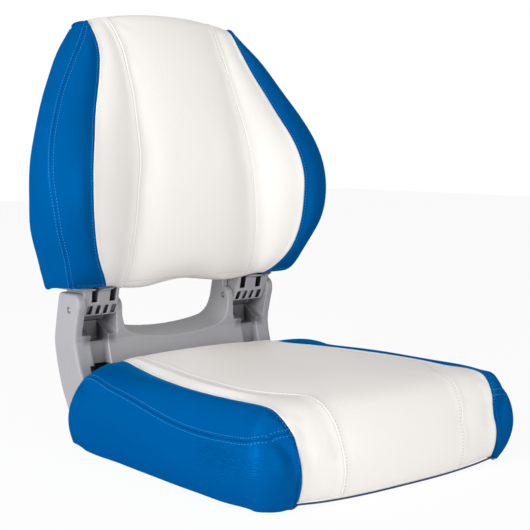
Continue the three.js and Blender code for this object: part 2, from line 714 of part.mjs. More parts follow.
function seatFrame() {
  const neck = box(-neckHalfWidth + towerEdgeRound, neckHalfWidth - towerEdgeRound,
    panRearY - panCorner, towerFrontY + towerEdgeRound, 0, panTop);
  const neckCells = [];
  const span = 2 * (neckHalfWidth - towerEdgeRound - panRim);
  const width = (span - (neckCellCount - 1) * ribThickness) / neckCellCount;
  for (let n = 0; n < neckCellCount; n += 1) {
    const x = -span / 2 + n * (width + ribThickness);
    neckCells.push(box(x, x + width, panRearY, towerFrontY - frameWall, -overrun, panTop - panPlate));
  }
  let body = joined([pan(), neck, towers()]).subtract(joined(neckCells));
  for (const [x, y] of boltSpots) {
    body = body.subtract(rodZ(insertRadius + fit, x, y, -overrun, insertLength + fit));
  }
  for (const [x, y] of seatScrewSpots) {
    body = body.subtract(rodZ(screwHole, x, y, 0, panTop + overrun, smallRoundSteps));
  }
  for (const [near, far] of bothSides(towerInnerX - overrun, towerOuterX + overrun)) {
    body = body.subtract(rodX(pinRadius + fit, near, far, pivotY, pivotZ));
  }
  for (const face of [towerInnerX, towerOuterX]) {
    const [from, to] = face === towerInnerX
      ? [face - overrun, face + pinDimpleDepth] : [face - pinDimpleDepth, face + overrun];
    for (const [near, far] of bothSides(from, to)) {
      body = body.subtract(rodX(pinDimpleRadius, near, far, pivotY, pivotZ));
    }
  }
  return body;
}

// Lathed hardware, made along its own axis and then laid where it belongs.
function lathed(profile, steps) {
  return new THREE.LatheGeometry(profile.map(([r, h]) => new THREE.Vector2(r, h)), steps);
}

function hingePin() {
  const half = (towerOuterX - towerInnerX) / 2 - pinDimpleDepth / 2;
  return lathed([[0, -half], [pinRadius - pinChamfer, -half], [pinRadius, -half + pinChamfer],
    [pinRadius, half - pinChamfer], [pinRadius - pinChamfer, half], [0, half]], roundSteps);
}

function threadedInsert() {
  return lathed([[insertBore, 0], [insertRadius, 0], [insertRadius, insertLength],
    [insertBore, insertLength], [insertBore, 0]], roundSteps);
}

function screw() {
  return lathed([[0, 0], [screwHeadRadius * screwHeadTopShare, 0], [screwHeadRadius, screwHeadHeight / 2],
    [screwHeadRadius, screwHeadHeight], [screwRadius, screwHeadHeight],
    [screwRadius, screwHeadHeight + screwLength - screwTipLength],
    [0, screwHeadHeight + screwLength]], smallRoundSteps);
}

// Seat board and the spaces cut into the filling and covers for it and for the frame's neck.
const boardTop = panTop + fit + boardThickness;
const neckTool = box(-neckHalfWidth - fit, neckHalfWidth + fit, panRearY - panCorner,
  towerFrontY + overrun, -overrun, panTop + fit);

function seatBoard() {
  let body = prismZ(panOutline(0), panTop + fit, boardTop);
  for (const [x, y] of seatScrewSpots) {
    const tip = panTop - panPlate - fit + screwLength + fit;
    body = body.subtract(rodZ(screwHole, x, y, 0, tip, smallRoundSteps));
  }
  return body;
}

function seatFoam() {
  const recess = prismZ(panOutline(fit), -overrun, boardTop + fit);
  return fillingSolid(seatSkin, vinylThickness + fit).subtract(recess).subtract(neckTool);
}

// The binding tape sewn to the lower edge of the seat cover.
function seatBinding() {
  const hem = seatSkin.hem.map(({ index }) => seatSkin.vertices[index].clone()
    .setZ(seatSkirtZ - bindingRadius - fit));
  const reach = neckHalfWidth + panRim;
  const start = hem.findIndex((point) => point.y > panRearY && point.x > reach);
  const ordered = [...hem.slice(start), ...hem.slice(0, start)];
  const route = ordered.filter((point) => !(point.y > panRearY + panRim && Math.abs(point.x) < reach));
  const path = new THREE.CatmullRomCurve3(route);
  const circle = arcPoints(0, 0, bindingRadius, 0, 2 * Math.PI, bindingSides);
  const section = outlineShape(circle.slice(0, -1));
  return new THREE.ExtrudeGeometry(section, { steps: bindingSteps, extrudePath: path, bevelEnabled: false });
}

// Back frame. The arm profile is drawn from the side, round the hinge axis.
function armProfile(grow) {
  const r = barrelRadius + grow;
  const barrel = arcPoints(pivotY, pivotZ, r, Math.PI, 2 * Math.PI, 12);
  const rear = backRearLine(rootRearZ - grow, rootTopZ + grow, rootSteps)
    .map(([y, z]) => [y + shellRim / 2, z]);
  return [...barrel, [pivotY + r, rootRearZ - grow], ...rear, [pivotY, rootTopZ + grow],
    [pivotY - r - rootLean, rootShoulderZ + grow]];
}

function arms(grow) {
  const profile = armProfile(grow);
  return joined(bothSides(armInnerX - grow, armOuterX + grow)
    .map(([near, far]) => prismX(profile, near, far)));
}

// The swollen plate under the cushion on each side, cut clear of the outer cheeks as they sweep.
function belly() {
  const ball = new THREE.SphereGeometry(1, roundSteps, smallRoundSteps);
  ball.scale(bellyHalfWidth, bellyHalfDepth, bellySag).translate(bellyX, bellyY, bellyTop);
  const below = box(0, backHalf, 0, bellyRearY, 0, bellyTop);
  const right = solidOf(ball).intersect(below);
  let body = right.add(right.mirror([1, 0, 0]));
  for (const [near, far] of bothSides(armOuterX, towerOuterX + fit + fit)) {
    body = body.subtract(rodX(cheekSweepRadius, near, far, pivotY, pivotZ, 2 * roundSteps));
  }
  return body;
}

// The rear shell is a shallow dish: a rim that meets the cushion's rear edge and a domed back.
function shellSkin() {
  const rows = backRows.slice(1, -1).map((row, n) => {
    const inset = shellInset + (n === 0 ? shellCornerInset : 0);
    const rim = backRearAt(row.along) + fit + shellRim;
    const at = (x, share) => [x, rim + share * row.fullness * shellDome];
    return {
      ...row,
      white: at(row.white[0] - shellInset / 2, shellDomeShares.white),
      blue: at(row.blue[0] - inset, shellDomeShares.blue),
      edge: at(row.edge[0] - inset, 0),
      mid: 0,
      tuck: 0,
    };
  });
  const none = { mid: 0, tuck: 0 };
  const { crown, shoulder } = shellDomeShares;
  const plump = { centre: shellDome * crown, strip: 0, blue: shellDome * shoulder };
  const skin = cushionSkin(rows, plump, (q) => backRearAt(q) + fit, { first: none, last: none });
  return placedSkin(skin, ([p, q, h]) => new THREE.Vector3(p, h, q), true);
}

const backScrewSpots = [-1, 1].flatMap((side) => [backScrewLowZ, backScrewHighZ]
  .map((z) => [side * backScrewX, z]));

function armWindows() {
  const front = pivotY - barrelRadius;
  const tools = [];
  for (const share of windowTopShares) {
    const x = armInnerX + share * armWidth;
    for (const [near, far] of bothSides(x, x + windowTopWidth)) {
      tools.push(box(near, far, front - overrun, front + windowTopDepth, windowTopBottomZ,
        windowTopBottomZ + windowTopHeight));
    }
  }
  const depthLine = [[front - overrun, windowLowBottomZ], [front + windowLowDepth, windowLowBottomZ],
    [front + windowLowDepth - windowLowLean, windowLowTopZ], [front - overrun, windowLowTopZ]];
  for (const [from, to] of windowLowShares) {
    for (const [near, far] of bothSides(armInnerX + from * armWidth, armInnerX + to * armWidth)) {
      tools.push(prismX(depthLine, near, far));
    }
  }
  return joined(tools);
}

function backFrame() {
  const skin = shellSkin();
  const shell = sheetSolid(skin, () => true, shellWall, 0);
  const limit = fillingSolid(skin, shellWall / 4);
  const deep = backRearY + backRearRake + shellRim + shellDome;
  const roots = joined(bothSides(armInnerX, armOuterX)
    .map(([near, far]) => box(near, far, backRearY, deep, 0, rootTopZ).intersect(limit)));
  let body = joined([shell, belly(), arms(0), roots]);
  for (const [x, z] of backScrewSpots) {
    const face = backRearAt(z) + fit;
    const boss = rodY(screwBossRadius, x, face, face + shellRim + 2 * shellDome, z);
    body = body.add(boss.intersect(limit));
    body = body.subtract(rodY(screwHole, x, face - overrun, face + overrun, z));
    const seat = face + panPlate;
    body = body.subtract(rodY(screwHeadRadius + 2 * fit, x, seat, seat + 2 * (shellRim + shellDome), z));
  }
  body = body.subtract(armWindows());
  for (const [near, far] of bothSides(armInnerX - overrun, armOuterX + overrun)) {
    body = body.subtract(rodX(pinRadius + fit, near, far, pivotY, pivotZ));
  }
  return body;
}

// Back board: a bent ply panel that follows the cushion's rear line.
function backBoardSolid(grow, behind) {
  const line = backRearLine(backBoardBottomZ, backBoardTopZ, boardSteps);
  line[0][1] -= grow;
  line[boardSteps][1] += grow;
  const slab = [...line.map(([y, z]) => [y + behind, z]),
    ...line.map(([y, z]) => [y - backBoardThickness - grow, z]).reverse()];
  const half = backRows
    .filter(({ along }) => along > backBoardBottomZ - overrun && along < backBoardTopZ + overrun)
    .map(({ along, edge }) => [edge[0] - backBoardInset + grow, along]);
  const outline = [...half, ...half.map(([x, z]) => [-x, z]).reverse()];
  return prismX(slab, -backHalf, backHalf).intersect(prismY(outline, 0, backRearY + 2 * backRearRake));
}

function backBoard() {
  let body = backBoardSolid(0, 0);
  for (const [x, z] of backScrewSpots) {
    const face = backRearAt(z);
    body = body.subtract(rodY(screwHole + fit, x, face - screwLength, face + overrun, z));
  }
  return body;
}

// What stands in the back cushion's space: the arm roots and the board.
const rootTool = arms(fit);

function backFoam() {
  return fillingSolid(backSkin, vinylThickness + fit)
    .subtract(backBoardSolid(fit, overrun)).subtract(rootTool);
}

// The assembly. Seat pieces stay put, and back pieces turn about the hinge axis.
const seat = new THREE.Group();

function addPiece(name, finish, geometry) {
  const mesh = new THREE.Mesh(geometry, new THREE.MeshStandardMaterial(materials[finish]));
  mesh.name = name;
  seat.add(mesh);
  return mesh;
}

addPiece('seat_frame', 'plastic', geometryOf(seatFrame()));
boltSpots.forEach(([x, y], n) => {
  const insert = addPiece(`seat_insert_${n + 1}`, 'brass', threadedInsert());
  insert.rotation.x = Math.PI / 2;
  insert.position.set(x, y, 0);
});
addPiece('seat_board', 'board', geometryOf(seatBoard()));
seatScrewSpots.forEach(([x, y], n) => {
  const piece = addPiece(`seat_screw_${n + 1}`, 'steel', screw());
  piece.rotation.x = Math.PI / 2;
  piece.position.set(x, y, panTop - panPlate - screwHeadHeight - fit);
});
addPiece('seat_foam', 'foam', geometryOf(seatFoam()));

const coverPanels = [
  ['cover_centre', 'centre', 'white'],
  ['cover_strip_left', 'strip_left', 'white'],
  ['cover_strip_right', 'strip_right', 'white'],
  ['cover_bolster_left', 'top_left', 'blue'],
  ['cover_bolster_right', 'top_right', 'blue'],
  ['cover_side_left', 'side_left', 'blue'],
  ['cover_side_right', 'side_right', 'blue'],
];
for (const [name, panel, finish] of coverPanels) {
  const sheet = sheetSolid(seatSkin, (id) => id === panel, vinylThickness, seamGap);
  addPiece(`seat_${name}`, finish, geometryOf(sheet.subtract(neckTool)));
}
addPiece('seat_binding', 'darkBlue', seatBinding());

for (const [side, name] of [[-1, 'left'], [1, 'right']]) {
  const pin = addPiece(`hinge_pin_${name}`, 'steel', hingePin());
  pin.rotation.z = Math.PI / 2;
  pin.position.set(side * (towerInnerX + towerOuterX) / 2, pivotY, pivotZ);
}

addPiece('back_frame', 'plastic', geometryOf(backFrame()));
addPiece('back_board', 'board', geometryOf(backBoard()));
addPiece('back_foam', 'foam', geometryOf(backFoam()));
for (const [name, panel, finish] of coverPanels) {
  const sheet = sheetSolid(backSkin, (id) => id === panel, vinylThickness, seamGap);
  addPiece(`back_${name}`, finish, geometryOf(sheet.subtract(rootTool)));
}
backScrewSpots.forEach(([x, z], n) => {
  const piece = addPiece(`back_screw_${n + 1}`, 'steel', screw());
  piece.rotation.z = Math.PI;
  piece.position.set(x, backRearAt(z) + fit + panPlate + screwHeadHeight + fit, z);
});

export default seat;
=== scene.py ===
# A folding boat seat: vinyl cushions sewn from blue and white panels, on grey moulded frames
# that meet in two hinge towers with a grab rail between them. Metres, +Z up, sitter faces -Y.
import math
import random

import bmesh
import bpy
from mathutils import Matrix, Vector, kdtree
from mathutils.bvhtree import BVHTree


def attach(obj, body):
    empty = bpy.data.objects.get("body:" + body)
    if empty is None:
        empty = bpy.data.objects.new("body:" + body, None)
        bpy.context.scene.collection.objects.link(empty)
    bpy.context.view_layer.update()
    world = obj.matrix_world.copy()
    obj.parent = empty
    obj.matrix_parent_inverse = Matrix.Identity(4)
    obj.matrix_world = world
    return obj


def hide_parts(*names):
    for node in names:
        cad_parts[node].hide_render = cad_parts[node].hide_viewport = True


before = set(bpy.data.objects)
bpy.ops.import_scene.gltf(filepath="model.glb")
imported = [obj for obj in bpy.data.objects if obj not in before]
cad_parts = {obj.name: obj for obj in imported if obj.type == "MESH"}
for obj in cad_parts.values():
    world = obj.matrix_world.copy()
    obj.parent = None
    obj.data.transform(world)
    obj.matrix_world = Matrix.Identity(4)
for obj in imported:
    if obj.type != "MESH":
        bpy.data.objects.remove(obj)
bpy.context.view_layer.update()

# Camera: stands in front of the seat's left corner, a little above the cushions, with the
# long lens that the photograph's perspective asks for.
camera_place = (-1.15545, -1.30247, 0.41972)
camera_turn, camera_rise = math.radians(-41.0), math.radians(5.627)
camera_lens, camera_sensor = 91.24, 36.0


def new_thing(name, data):
    """A mesh, camera or lamp put into the scene."""
    thing = bpy.data.objects.new(name, data)
    bpy.context.scene.collection.objects.link(thing)
    return thing


def new_mesh(name, points, faces):
    mesh = bpy.data.meshes.new(name)
    mesh.from_pydata(points, [], faces)
    return mesh


camera_data = bpy.data.cameras.new("camera")
camera_data.lens, camera_data.sensor_width = camera_lens, camera_sensor
camera = new_thing("camera", camera_data)
camera.location = camera_place
camera_back = Vector((math.sin(camera_turn) * math.cos(camera_rise),
                      -math.cos(camera_turn) * math.cos(camera_rise), math.sin(camera_rise)))
camera.rotation_euler = camera_back.to_track_quat("Z", "Y").to_euler()
bpy.context.scene.camera = camera
bpy.context.scene.view_settings.view_transform = "Standard"

# Studio: a white floor and a white surround. One large soft lamp stands at the left, a second in
# front, and a weak broad one hangs overhead. Each lamp has a place, a size and a power.
half_floor = 6.0
floor_colour = (0.93, 0.93, 0.93, 1.0)
floor_white_share = 0.93
surround_light = 0.22
lamps = {"left": ((-3.0, -0.5, 0.9), 1.6, 105.0), "front": ((0.4, -3.2, 0.7), 1.6, 50.0),
         "top": ((-0.5, -0.5, 2.8), 2.2, 14.0)}
lamp_aim = Vector((0.0, 0.0, 0.28))


def feed(tree, node, inputs):
    """Sets a node's inputs: numbers and colours as they are, and sockets by a link."""
    for name, value in inputs.items():
        if isinstance(value, bpy.types.NodeSocket):
            tree.links.new(value, node.inputs[name])
        else:
            node.inputs[name].default_value = value


def shader(tree, kind, inputs={}, **settings):
    node = tree.nodes.new("ShaderNode" + kind)
    for name, value in settings.items():
        setattr(node, name, value)
    feed(tree, node, inputs)
    return node


def maths(tree, operation, first, second):
    return shader(tree, "Math", {0: first, 1: second}, operation=operation).outputs[0]


def new_material(name):
    """A new material, its node tree and its surface."""
    material = bpy.data.materials.new(name)
    material.use_nodes = True
    return material, material.node_tree, material.node_tree.nodes["Principled BSDF"]


def seen_or_mirrored(tree):
    """A value of 1 for what the camera, gloss or glass sees, and 0 for plain light."""
    path = shader(tree, "LightPath").outputs
    first = maths(tree, "MAXIMUM", path["Is Camera Ray"], path["Is Glossy Ray"])
    return maths(tree, "MAXIMUM", first, path["Is Transmission Ray"])


floor_mesh = new_mesh("floor", [(-half_floor, -half_floor, 0), (half_floor, -half_floor, 0),
                                (half_floor, half_floor, 0), (-half_floor, half_floor, 0)],
                      [(0, 1, 2, 3)])
floor = new_thing("floor", floor_mesh)
floor_material, tree, bsdf = new_material("floor")
feed(tree, bsdf, {"Base Color": floor_colour, "Roughness": 0.9, "Specular IOR Level": 0.1})
whiter = maths(tree, "MULTIPLY", seen_or_mirrored(tree), floor_white_share)
glow = shader(tree, "Emission")
mix = shader(tree, "MixShader", {0: whiter, 1: bsdf.outputs[0], 2: glow.outputs[0]})
feed(tree, tree.nodes["Material Output"], {"Surface": mix.outputs[0]})
floor_mesh.materials.append(floor_material)

world = bpy.data.worlds.new("surround")
bpy.context.scene.world = world
world.use_nodes = True
tree = world.node_tree
strength = shader(tree, "MapRange", {"Value": seen_or_mirrored(tree), "To Min": surround_light,
                                     "To Max": 1.0})
feed(tree, tree.nodes["Background"], {"Color": (1.0, 1.0, 1.0, 1.0),
                                      "Strength": strength.outputs["Result"]})

for lamp_name, (place, size, power) in lamps.items():
    lamp_data = bpy.data.lights.new(lamp_name, "AREA")
    lamp_data.size, lamp_data.energy = size, power
    lamp = new_thing(lamp_name, lamp_data)
    lamp.location = place
    lamp.rotation_euler = (Vector(place) - lamp_aim).to_track_quat("Z", "Y").to_euler()

# Vinyl: a knitted backing under a soft skin with a fine pressed grain and a satin coat. The same
# sheet comes in strong blue and in warm white, and both cushions are sewn from it.
blue_colour, blue_darker = (0.0, 0.084, 0.275, 1.0), (0.0, 0.069, 0.235, 1.0)
white_colour, white_darker = (0.80, 0.775, 0.745, 1.0), (0.78, 0.755, 0.72, 1.0)
blue_shine, plain_shine = (0.0, 0.45, 1.0, 1.0), (1.0, 1.0, 1.0, 1.0)
grain_size, grain_evenness, grain_depth = 0.0011, 0.6, 0.00011
crease_size, crease_sharpness, crease_depth = 0.012, 2.0, 0.0006
ripple_scale, ripple_twist, ripple_depth = 95.0, 12.0, 0.0012


def new_group(name, inputs, outputs):
    """A shader group with named values, the values that it is given, and its end node."""
    group = bpy.data.node_groups.new(name, "ShaderNodeTree")
    for socket, value in inputs.items():
        made = group.interface.new_socket(socket, in_out="INPUT", socket_type="NodeSocketFloat")
        made.default_value = value
    for socket in outputs:
        group.interface.new_socket(socket, in_out="OUTPUT", socket_type="NodeSocketFloat")
    return group, group.nodes.new("NodeGroupInput").outputs, group.nodes.new("NodeGroupOutput")


def mixed(tree, first, second, share):
    """A colour between two others."""
    return shader(tree, "Mix", {"A": first, "B": second, "Factor": share},
                  data_type="RGBA").outputs["Result"]


def ranged(tree, value, limits):
    return shader(tree, "MapRange", {"Value": value, **limits}).outputs["Result"]


def bumped(tree, height, depth, strength=1.0, under=None):
    """The surface's tilt under a relief, over another relief if there is one."""
    relief = {"Height": height, "Distance": depth, "Strength": strength}
    if under:
        relief["Normal"] = under
    return shader(tree, "Bump", relief).outputs["Normal"]


def object_place(tree):
    return shader(tree, "TexCoord").outputs["Object"]


pressed_grain, given, ends = new_group(
    "pressed_grain", {"Size": grain_size, "Evenness": grain_evenness}, ("Height", "Pores"))
place = object_place(pressed_grain)
per_metre = maths(pressed_grain, "DIVIDE", 1.0, given["Size"])
cells = shader(pressed_grain, "TexVoronoi", {"Vector": place, "Scale": per_metre, "Smoothness": 0.45},
               feature="SMOOTH_F1").outputs["Distance"]
drift = shader(pressed_grain, "TexNoise", {
    "Vector": place, "Scale": maths(pressed_grain, "MULTIPLY", per_metre, 0.35), "Detail": 3.0})
uneven = maths(pressed_grain, "MULTIPLY", drift.outputs[0],
               maths(pressed_grain, "SUBTRACT", 1.0, given["Evenness"]))
raised = maths(pressed_grain, "SUBTRACT", 1.0, cells)
feed(pressed_grain, ends, {"Height": maths(pressed_grain, "ADD", raised, uneven),
                           "Pores": ranged(pressed_grain, cells, {"From Min": 0.35, "From Max": 0.75})})

soft_creases, given, ends = new_group(
    "soft_creases", {"Size": crease_size, "Sharpness": crease_sharpness}, ("Height", "Cloud"))
place = object_place(soft_creases)
per_metre = maths(soft_creases, "DIVIDE", 1.0, given["Size"])
folds = shader(soft_creases, "TexNoise", {"Vector": place, "Scale": per_metre, "Detail": 4.0,
                                          "Distortion": 0.8})
folded = maths(soft_creases, "ABSOLUTE", maths(soft_creases, "SUBTRACT", folds.outputs[0], 0.5), 0.0)
sharp = maths(soft_creases, "POWER", folded, maths(soft_creases, "DIVIDE", 1.0, given["Sharpness"]))
cloud = shader(soft_creases, "TexNoise", {
    "Vector": place, "Scale": maths(soft_creases, "MULTIPLY", per_metre, 0.2), "Detail": 2.0})
feed(soft_creases, ends, {"Height": sharp, "Cloud": cloud.outputs[0]})


def vinyl(name, colour, darker, roughness, shine, gloss, sheen, pearl):
    """Vinyl of one colour, with grain, faint creases and a shine of its own tint. It ripples
    where the mesh says that it is gathered."""
    material, tree, bsdf = new_material(name)
    grain = shader(tree, "Group", node_tree=pressed_grain).outputs
    creases = shader(tree, "Group", node_tree=soft_creases).outputs
    worn = maths(tree, "ADD", maths(tree, "MULTIPLY", grain["Pores"], 0.25),
                 maths(tree, "MULTIPLY", creases["Cloud"], 0.3))
    gathers = shader(tree, "Attribute", attribute_name="gather").outputs["Fac"]
    ripples = shader(tree, "TexWave", {
        "Vector": object_place(tree), "Scale": ripple_scale, "Distortion": ripple_twist, "Detail": 2.0,
        "Detail Scale": 0.6}, bands_direction="Z").outputs["Fac"]
    creased = bumped(tree, creases["Height"], crease_depth, 0.25)
    rippled = bumped(tree, maths(tree, "MULTIPLY", ripples, gathers), ripple_depth, 0.9, creased)
    feed(tree, bsdf, {
        "Base Color": mixed(tree, colour, darker, worn), "Metallic": pearl,
        "Roughness": ranged(tree, creases["Cloud"], {"To Min": roughness - 0.05,
                                                     "To Max": roughness + 0.07}),
        "Specular IOR Level": gloss, "Specular Tint": shine,
        "Sheen Weight": sheen, "Sheen Roughness": 0.35, "Sheen Tint": shine,
        "Normal": bumped(tree, grain["Height"], grain_depth, 0.5, rippled)})
    return material


blue_vinyl = vinyl("blue_vinyl", blue_colour, blue_darker, 0.45, blue_shine, 0.0, 0.2, 0.2)
white_vinyl = vinyl("white_vinyl", white_colour, white_darker, 0.46, plain_shine, 0.35, 0.0, 0.0)

# Seat cushion: foam on a ply board under a cover of seven vinyl panels. The white centre and its
# two strips run down the front, and the blue bolsters meet the blue sides in a boxing seam.
centre_columns, strip_columns, blue_columns = 3, 2, 3
panel_kinds = ("centre", "strip_left", "strip_right", "bolster_left", "bolster_right",
               "side_left", "side_right")
skirt_shares = (0.2, 0.5, 0.8, 1.0)

seat_rear_y, seat_depth, seat_half, seat_height = 0.188, 0.413, 0.220, 0.120
seat_skirt_z, seat_front_bow, seat_bow_start = 0.003, 0.005, 0.85
seat_neck_half, seat_neck_start, seat_neck_z = 0.178, 0.136, 0.0155
seat_rear_reach, seat_rear_rise = (0.13, 0.19), 0.005
seat_side_reach, seat_side_drop = (0.168, 0.18), 0.0022
seat_front_reach, seat_front_rise = (0.195, 0.21), 0.0055
# Each row, as shares: along the depth; the white, blue and side seams across and up; fullness;
# the bolster's own fullness; and the side's swell and tuck in shares of the height.
seat_row_shares = (
    (0, 0.468, 0.925, 0.591, 0.903, 0.823, 0.767, 0.3, 0.17, 0.168, 0.14),
    (0.024, 0.473, 0.97, 0.595, 0.93, 0.853, 0.797, 0.6, 0.25, 0.158, 0.08),
    (0.068, 0.486, 0.995, 0.609, 0.978, 0.898, 0.84, 1, 0.36, 0.093, 0.0),
    (0.14, 0.509, 0.992, 0.632, 0.958, 0.931, 0.9, 1, 0.5, 0.048, -0.091),
    (0.225, 0.545, 1, 0.673, 0.948, 0.939, 0.842, 1, 0.54, 0.034, -0.1),
    (0.334, 0.595, 1, 0.736, 0.95, 0.953, 0.792, 1, 0.66, 0.038, -0.096),
    (0.455, 0.636, 0.992, 0.791, 0.955, 0.97, 0.729, 1, 0.82, 0.041, -0.097),
    (0.576, 0.668, 0.992, 0.814, 0.946, 0.988, 0.671, 1, 0.98, 0.048, -0.098),
    (0.697, 0.684, 0.992, 0.814, 0.94, 0.996, 0.642, 1, 1.08, 0.052, -0.094),
    (0.794, 0.641, 0.988, 0.818, 0.948, 1.005, 0.65, 1, 1, 0.05, -0.094),
    (0.862, 0.55, 0.983, 0.818, 0.955, 1.005, 0.663, 1, 0.84, 0.042, -0.116),
    (0.91, 0.518, 0.967, 0.814, 0.944, 0.997, 0.675, 0.9, 0.77, 0.053, -0.11),
    (0.949, 0.507, 0.892, 0.807, 0.88, 0.982, 0.696, 0.7, 0.79, 0.067, -0.085),
    (0.976, 0.495, 0.767, 0.791, 0.785, 0.92, 0.715, 0.4, 0.66, 0.095, -0.055),
    (0.99, 0.486, 0.642, 0.773, 0.655, 0.852, 0.62, 0.3, 0.48, 0.075, -0.045),
    (1, 0.475, 0.5, 0.764, 0.51, 0.8, 0.49, 0.3, 0.34, 0.036, -0.03),
)


def ease(value, start, end):
    """0 up to the start and 1 from the end on, evenly between them."""
    return min(1.0, max(0.0, (value - start) / (end - start)))


def blend(a, b, t):
    return a + (b - a) * t


def through(points, n, t):
    """A smooth curve through points: point n at 0, and the next one at 1."""
    a, b, c, d = (points[min(len(points) - 1, max(0, k))] for k in range(n - 1, n + 3))
    return (b + (c - a) * (0.5 * t) + (a * 2 - b * 5 + c * 4 - d) * (0.5 * t * t)
            + (b * 3 - a - c * 3 + d) * (0.5 * t * t * t))


seat_rows = []
for d, wx, wz, bx, bz, ex, ez, fullness, bolster, swell, tuck in seat_row_shares:
    ramp = ease(d, seat_bow_start, 1)
    seat_rows.append({
        "along": seat_rear_y - d * seat_depth,
        "lift": -seat_front_bow * ramp * ramp * (3 - 2 * ramp),
        "white": (wx * seat_half, wz * seat_height), "blue": (bx * seat_half, bz * seat_height),
        "edge": (ex * seat_half, ez * seat_height),
        "full": fullness, "bolster": bolster,
        "swell": swell * seat_height, "tuck": tuck * seat_height})
# The boxing seam runs on to the white strip along row 13, whose blue points sit nearer the next.
seat_rows[13]["drawn"] = (seat_rows[14], (0, 0, 0, 0, 0.1, 0.32, 0.7, 0.62, 0))
# How far a row that dips, the back's lowest, droops below its line, from the middle outwards.
row_dips = (-0.001, 0.002, 0.0068, 0.004, 0.001, 0.0, 0.0, 0.0, 0.0)


def row_point(row, column, plump):
    """A point across a row: columns count outwards from the middle line."""
    side, step = (1 if column > 0 else -1), abs(column)
    if step <= centre_columns:
        t = step / centre_columns
        across = row["white"][0] * t
        out = row["white"][1] + plump[0] * row["full"] * (1 - t * t)
    elif step <= centre_columns + strip_columns:
        t = (step - centre_columns) / strip_columns
        across = blend(row["white"][0], row["blue"][0], t)
        out = blend(row["white"][1], row["blue"][1], t) + plump[1] * row["full"] * 4 * t * (1 - t)
    else:
        t = (step - centre_columns - strip_columns) / blue_columns
        across = blend(row["blue"][0], row["edge"][0], t)
        out = blend(row["blue"][1], row["edge"][1], t) + plump[2] * row["bolster"] * 4 * t * (1 - t)
    share = across / row["blue"][0]
    along = row["along"] + row["lift"] * (1 - share * share)
    point = (side * across, along - row.get("dip", 0) * row_dips[step], out)
    if "drawn" in row:
        after, shares = row["drawn"]
        there = row_point(after, column, plump)
        point = tuple(blend(a, b, shares[step]) for a, b in zip(point, there))
    return point


def panel_of(column, end_is_side):
    step = abs(column + 0.5)
    if step < centre_columns:
        return panel_kinds.index("centre")
    side = "left" if column < 0 else "right"
    if step < centre_columns + strip_columns:
        return panel_kinds.index("strip_" + side)
    return panel_kinds.index(("side_" if end_is_side else "bolster_") + side)


def cover_net(rows, plump, base, end_swell, side_rows):
    """The cover's corner points, faces and panels: a grid of rows with a skirt all round it.
    Also gives the loop of grid places along the edge, the hem's points and their way outwards."""
    reach = centre_columns + strip_columns + blue_columns
    width = 2 * reach
    last = len(rows) - 1
    points = [row_point(row, column, plump) for row in rows for column in range(-reach, reach + 1)]
    at = lambda row, column: row * (width + 1) + column
    faces, panels = [], []
    for row in range(last):
        for column in range(width):
            faces.append((at(row, column), at(row, column + 1),
                          at(row + 1, column + 1), at(row + 1, column)))
            panels.append(panel_of(column - reach, row in side_rows))
    loop = ([(0, c) for c in range(width)] + [(r, width) for r in range(last)]
            + [(last, c) for c in range(width, 0, -1)] + [(r, 0) for r in range(last, 0, -1)])
    turn = 1 if rows[last]["along"] > rows[0]["along"] else -1
    outward, sides = [], []
    for n, (row, column) in enumerate(loop):
        before = points[at(*loop[n - 1])]
        after = points[at(*loop[(n + 1) % len(loop)])]
        along = Vector((after[0] - before[0], after[1] - before[1])).normalized()
        outward.append((turn * along.y, -turn * along.x))
        inward = math.sqrt(min(1.0, min(column, width - column) / blue_columns))
        end = end_swell[0] if row == 0 else end_swell[1] if row == last else None
        swell, tuck = rows[row]["swell"], rows[row]["tuck"]
        if end:
            swell, tuck = blend(swell, end[0], inward), blend(tuck, end[1], inward)
        sides.append((swell, tuck))
    above = [at(row, column) for row, column in loop]
    first = list(above)
    for share in skirt_shares:
        ring = []
        for n, start in enumerate(first):
            p, q, out = points[start]
            swell, tuck = sides[n]
            move = 4 * swell * share * (1 - share) + tuck * share * (2 * share - 1)
            p, q = p + outward[n][0] * move, q + outward[n][1] * move
            points.append((p, q, blend(out, base(p, q), share)))
            ring.append(len(points) - 1)
        for n in range(len(loop)):
            after = (n + 1) % len(loop)
            (row, column), (next_row, next_column) = loop[n], loop[after]
            panel = panel_of(min(column, next_column, width - 1) - reach, True)
            faces.append((above[after], above[n], ring[n], ring[after]))
            panels.append(panel)
        above = ring
    return {"points": points, "faces": faces, "panels": panels, "loop": loop, "hem": above,
            "outward": outward, "last": last, "width": width}


def placed(net, place, reverse):
    """A net in the part's frame, with its faces turned outwards."""
    faces = [tuple(reversed(face)) if reverse else face for face in net["faces"]]
    return [place(*point) for point in net["points"]], faces, net["panels"]


def turned_under(net, base, width):
    """The net with its hem turned inwards across the underside."""
    points, faces, panels = list(net["points"]), list(net["faces"]), list(net["panels"])
    hem, count = net["hem"], len(net["hem"])
    ring = []
    for n, at in enumerate(hem):
        p, q = (points[at][k] - net["outward"][n][k] * width for k in range(2))
        points.append((p, q, base(p, q)))
        ring.append(len(points) - 1)
    for n in range(count):
        after = (n + 1) % count
        faces.append((hem[after], hem[n], ring[n], ring[after]))
        panels.append(panels[len(net["panels"]) - count + n])
    return {**net, "points": points, "faces": faces, "panels": panels}


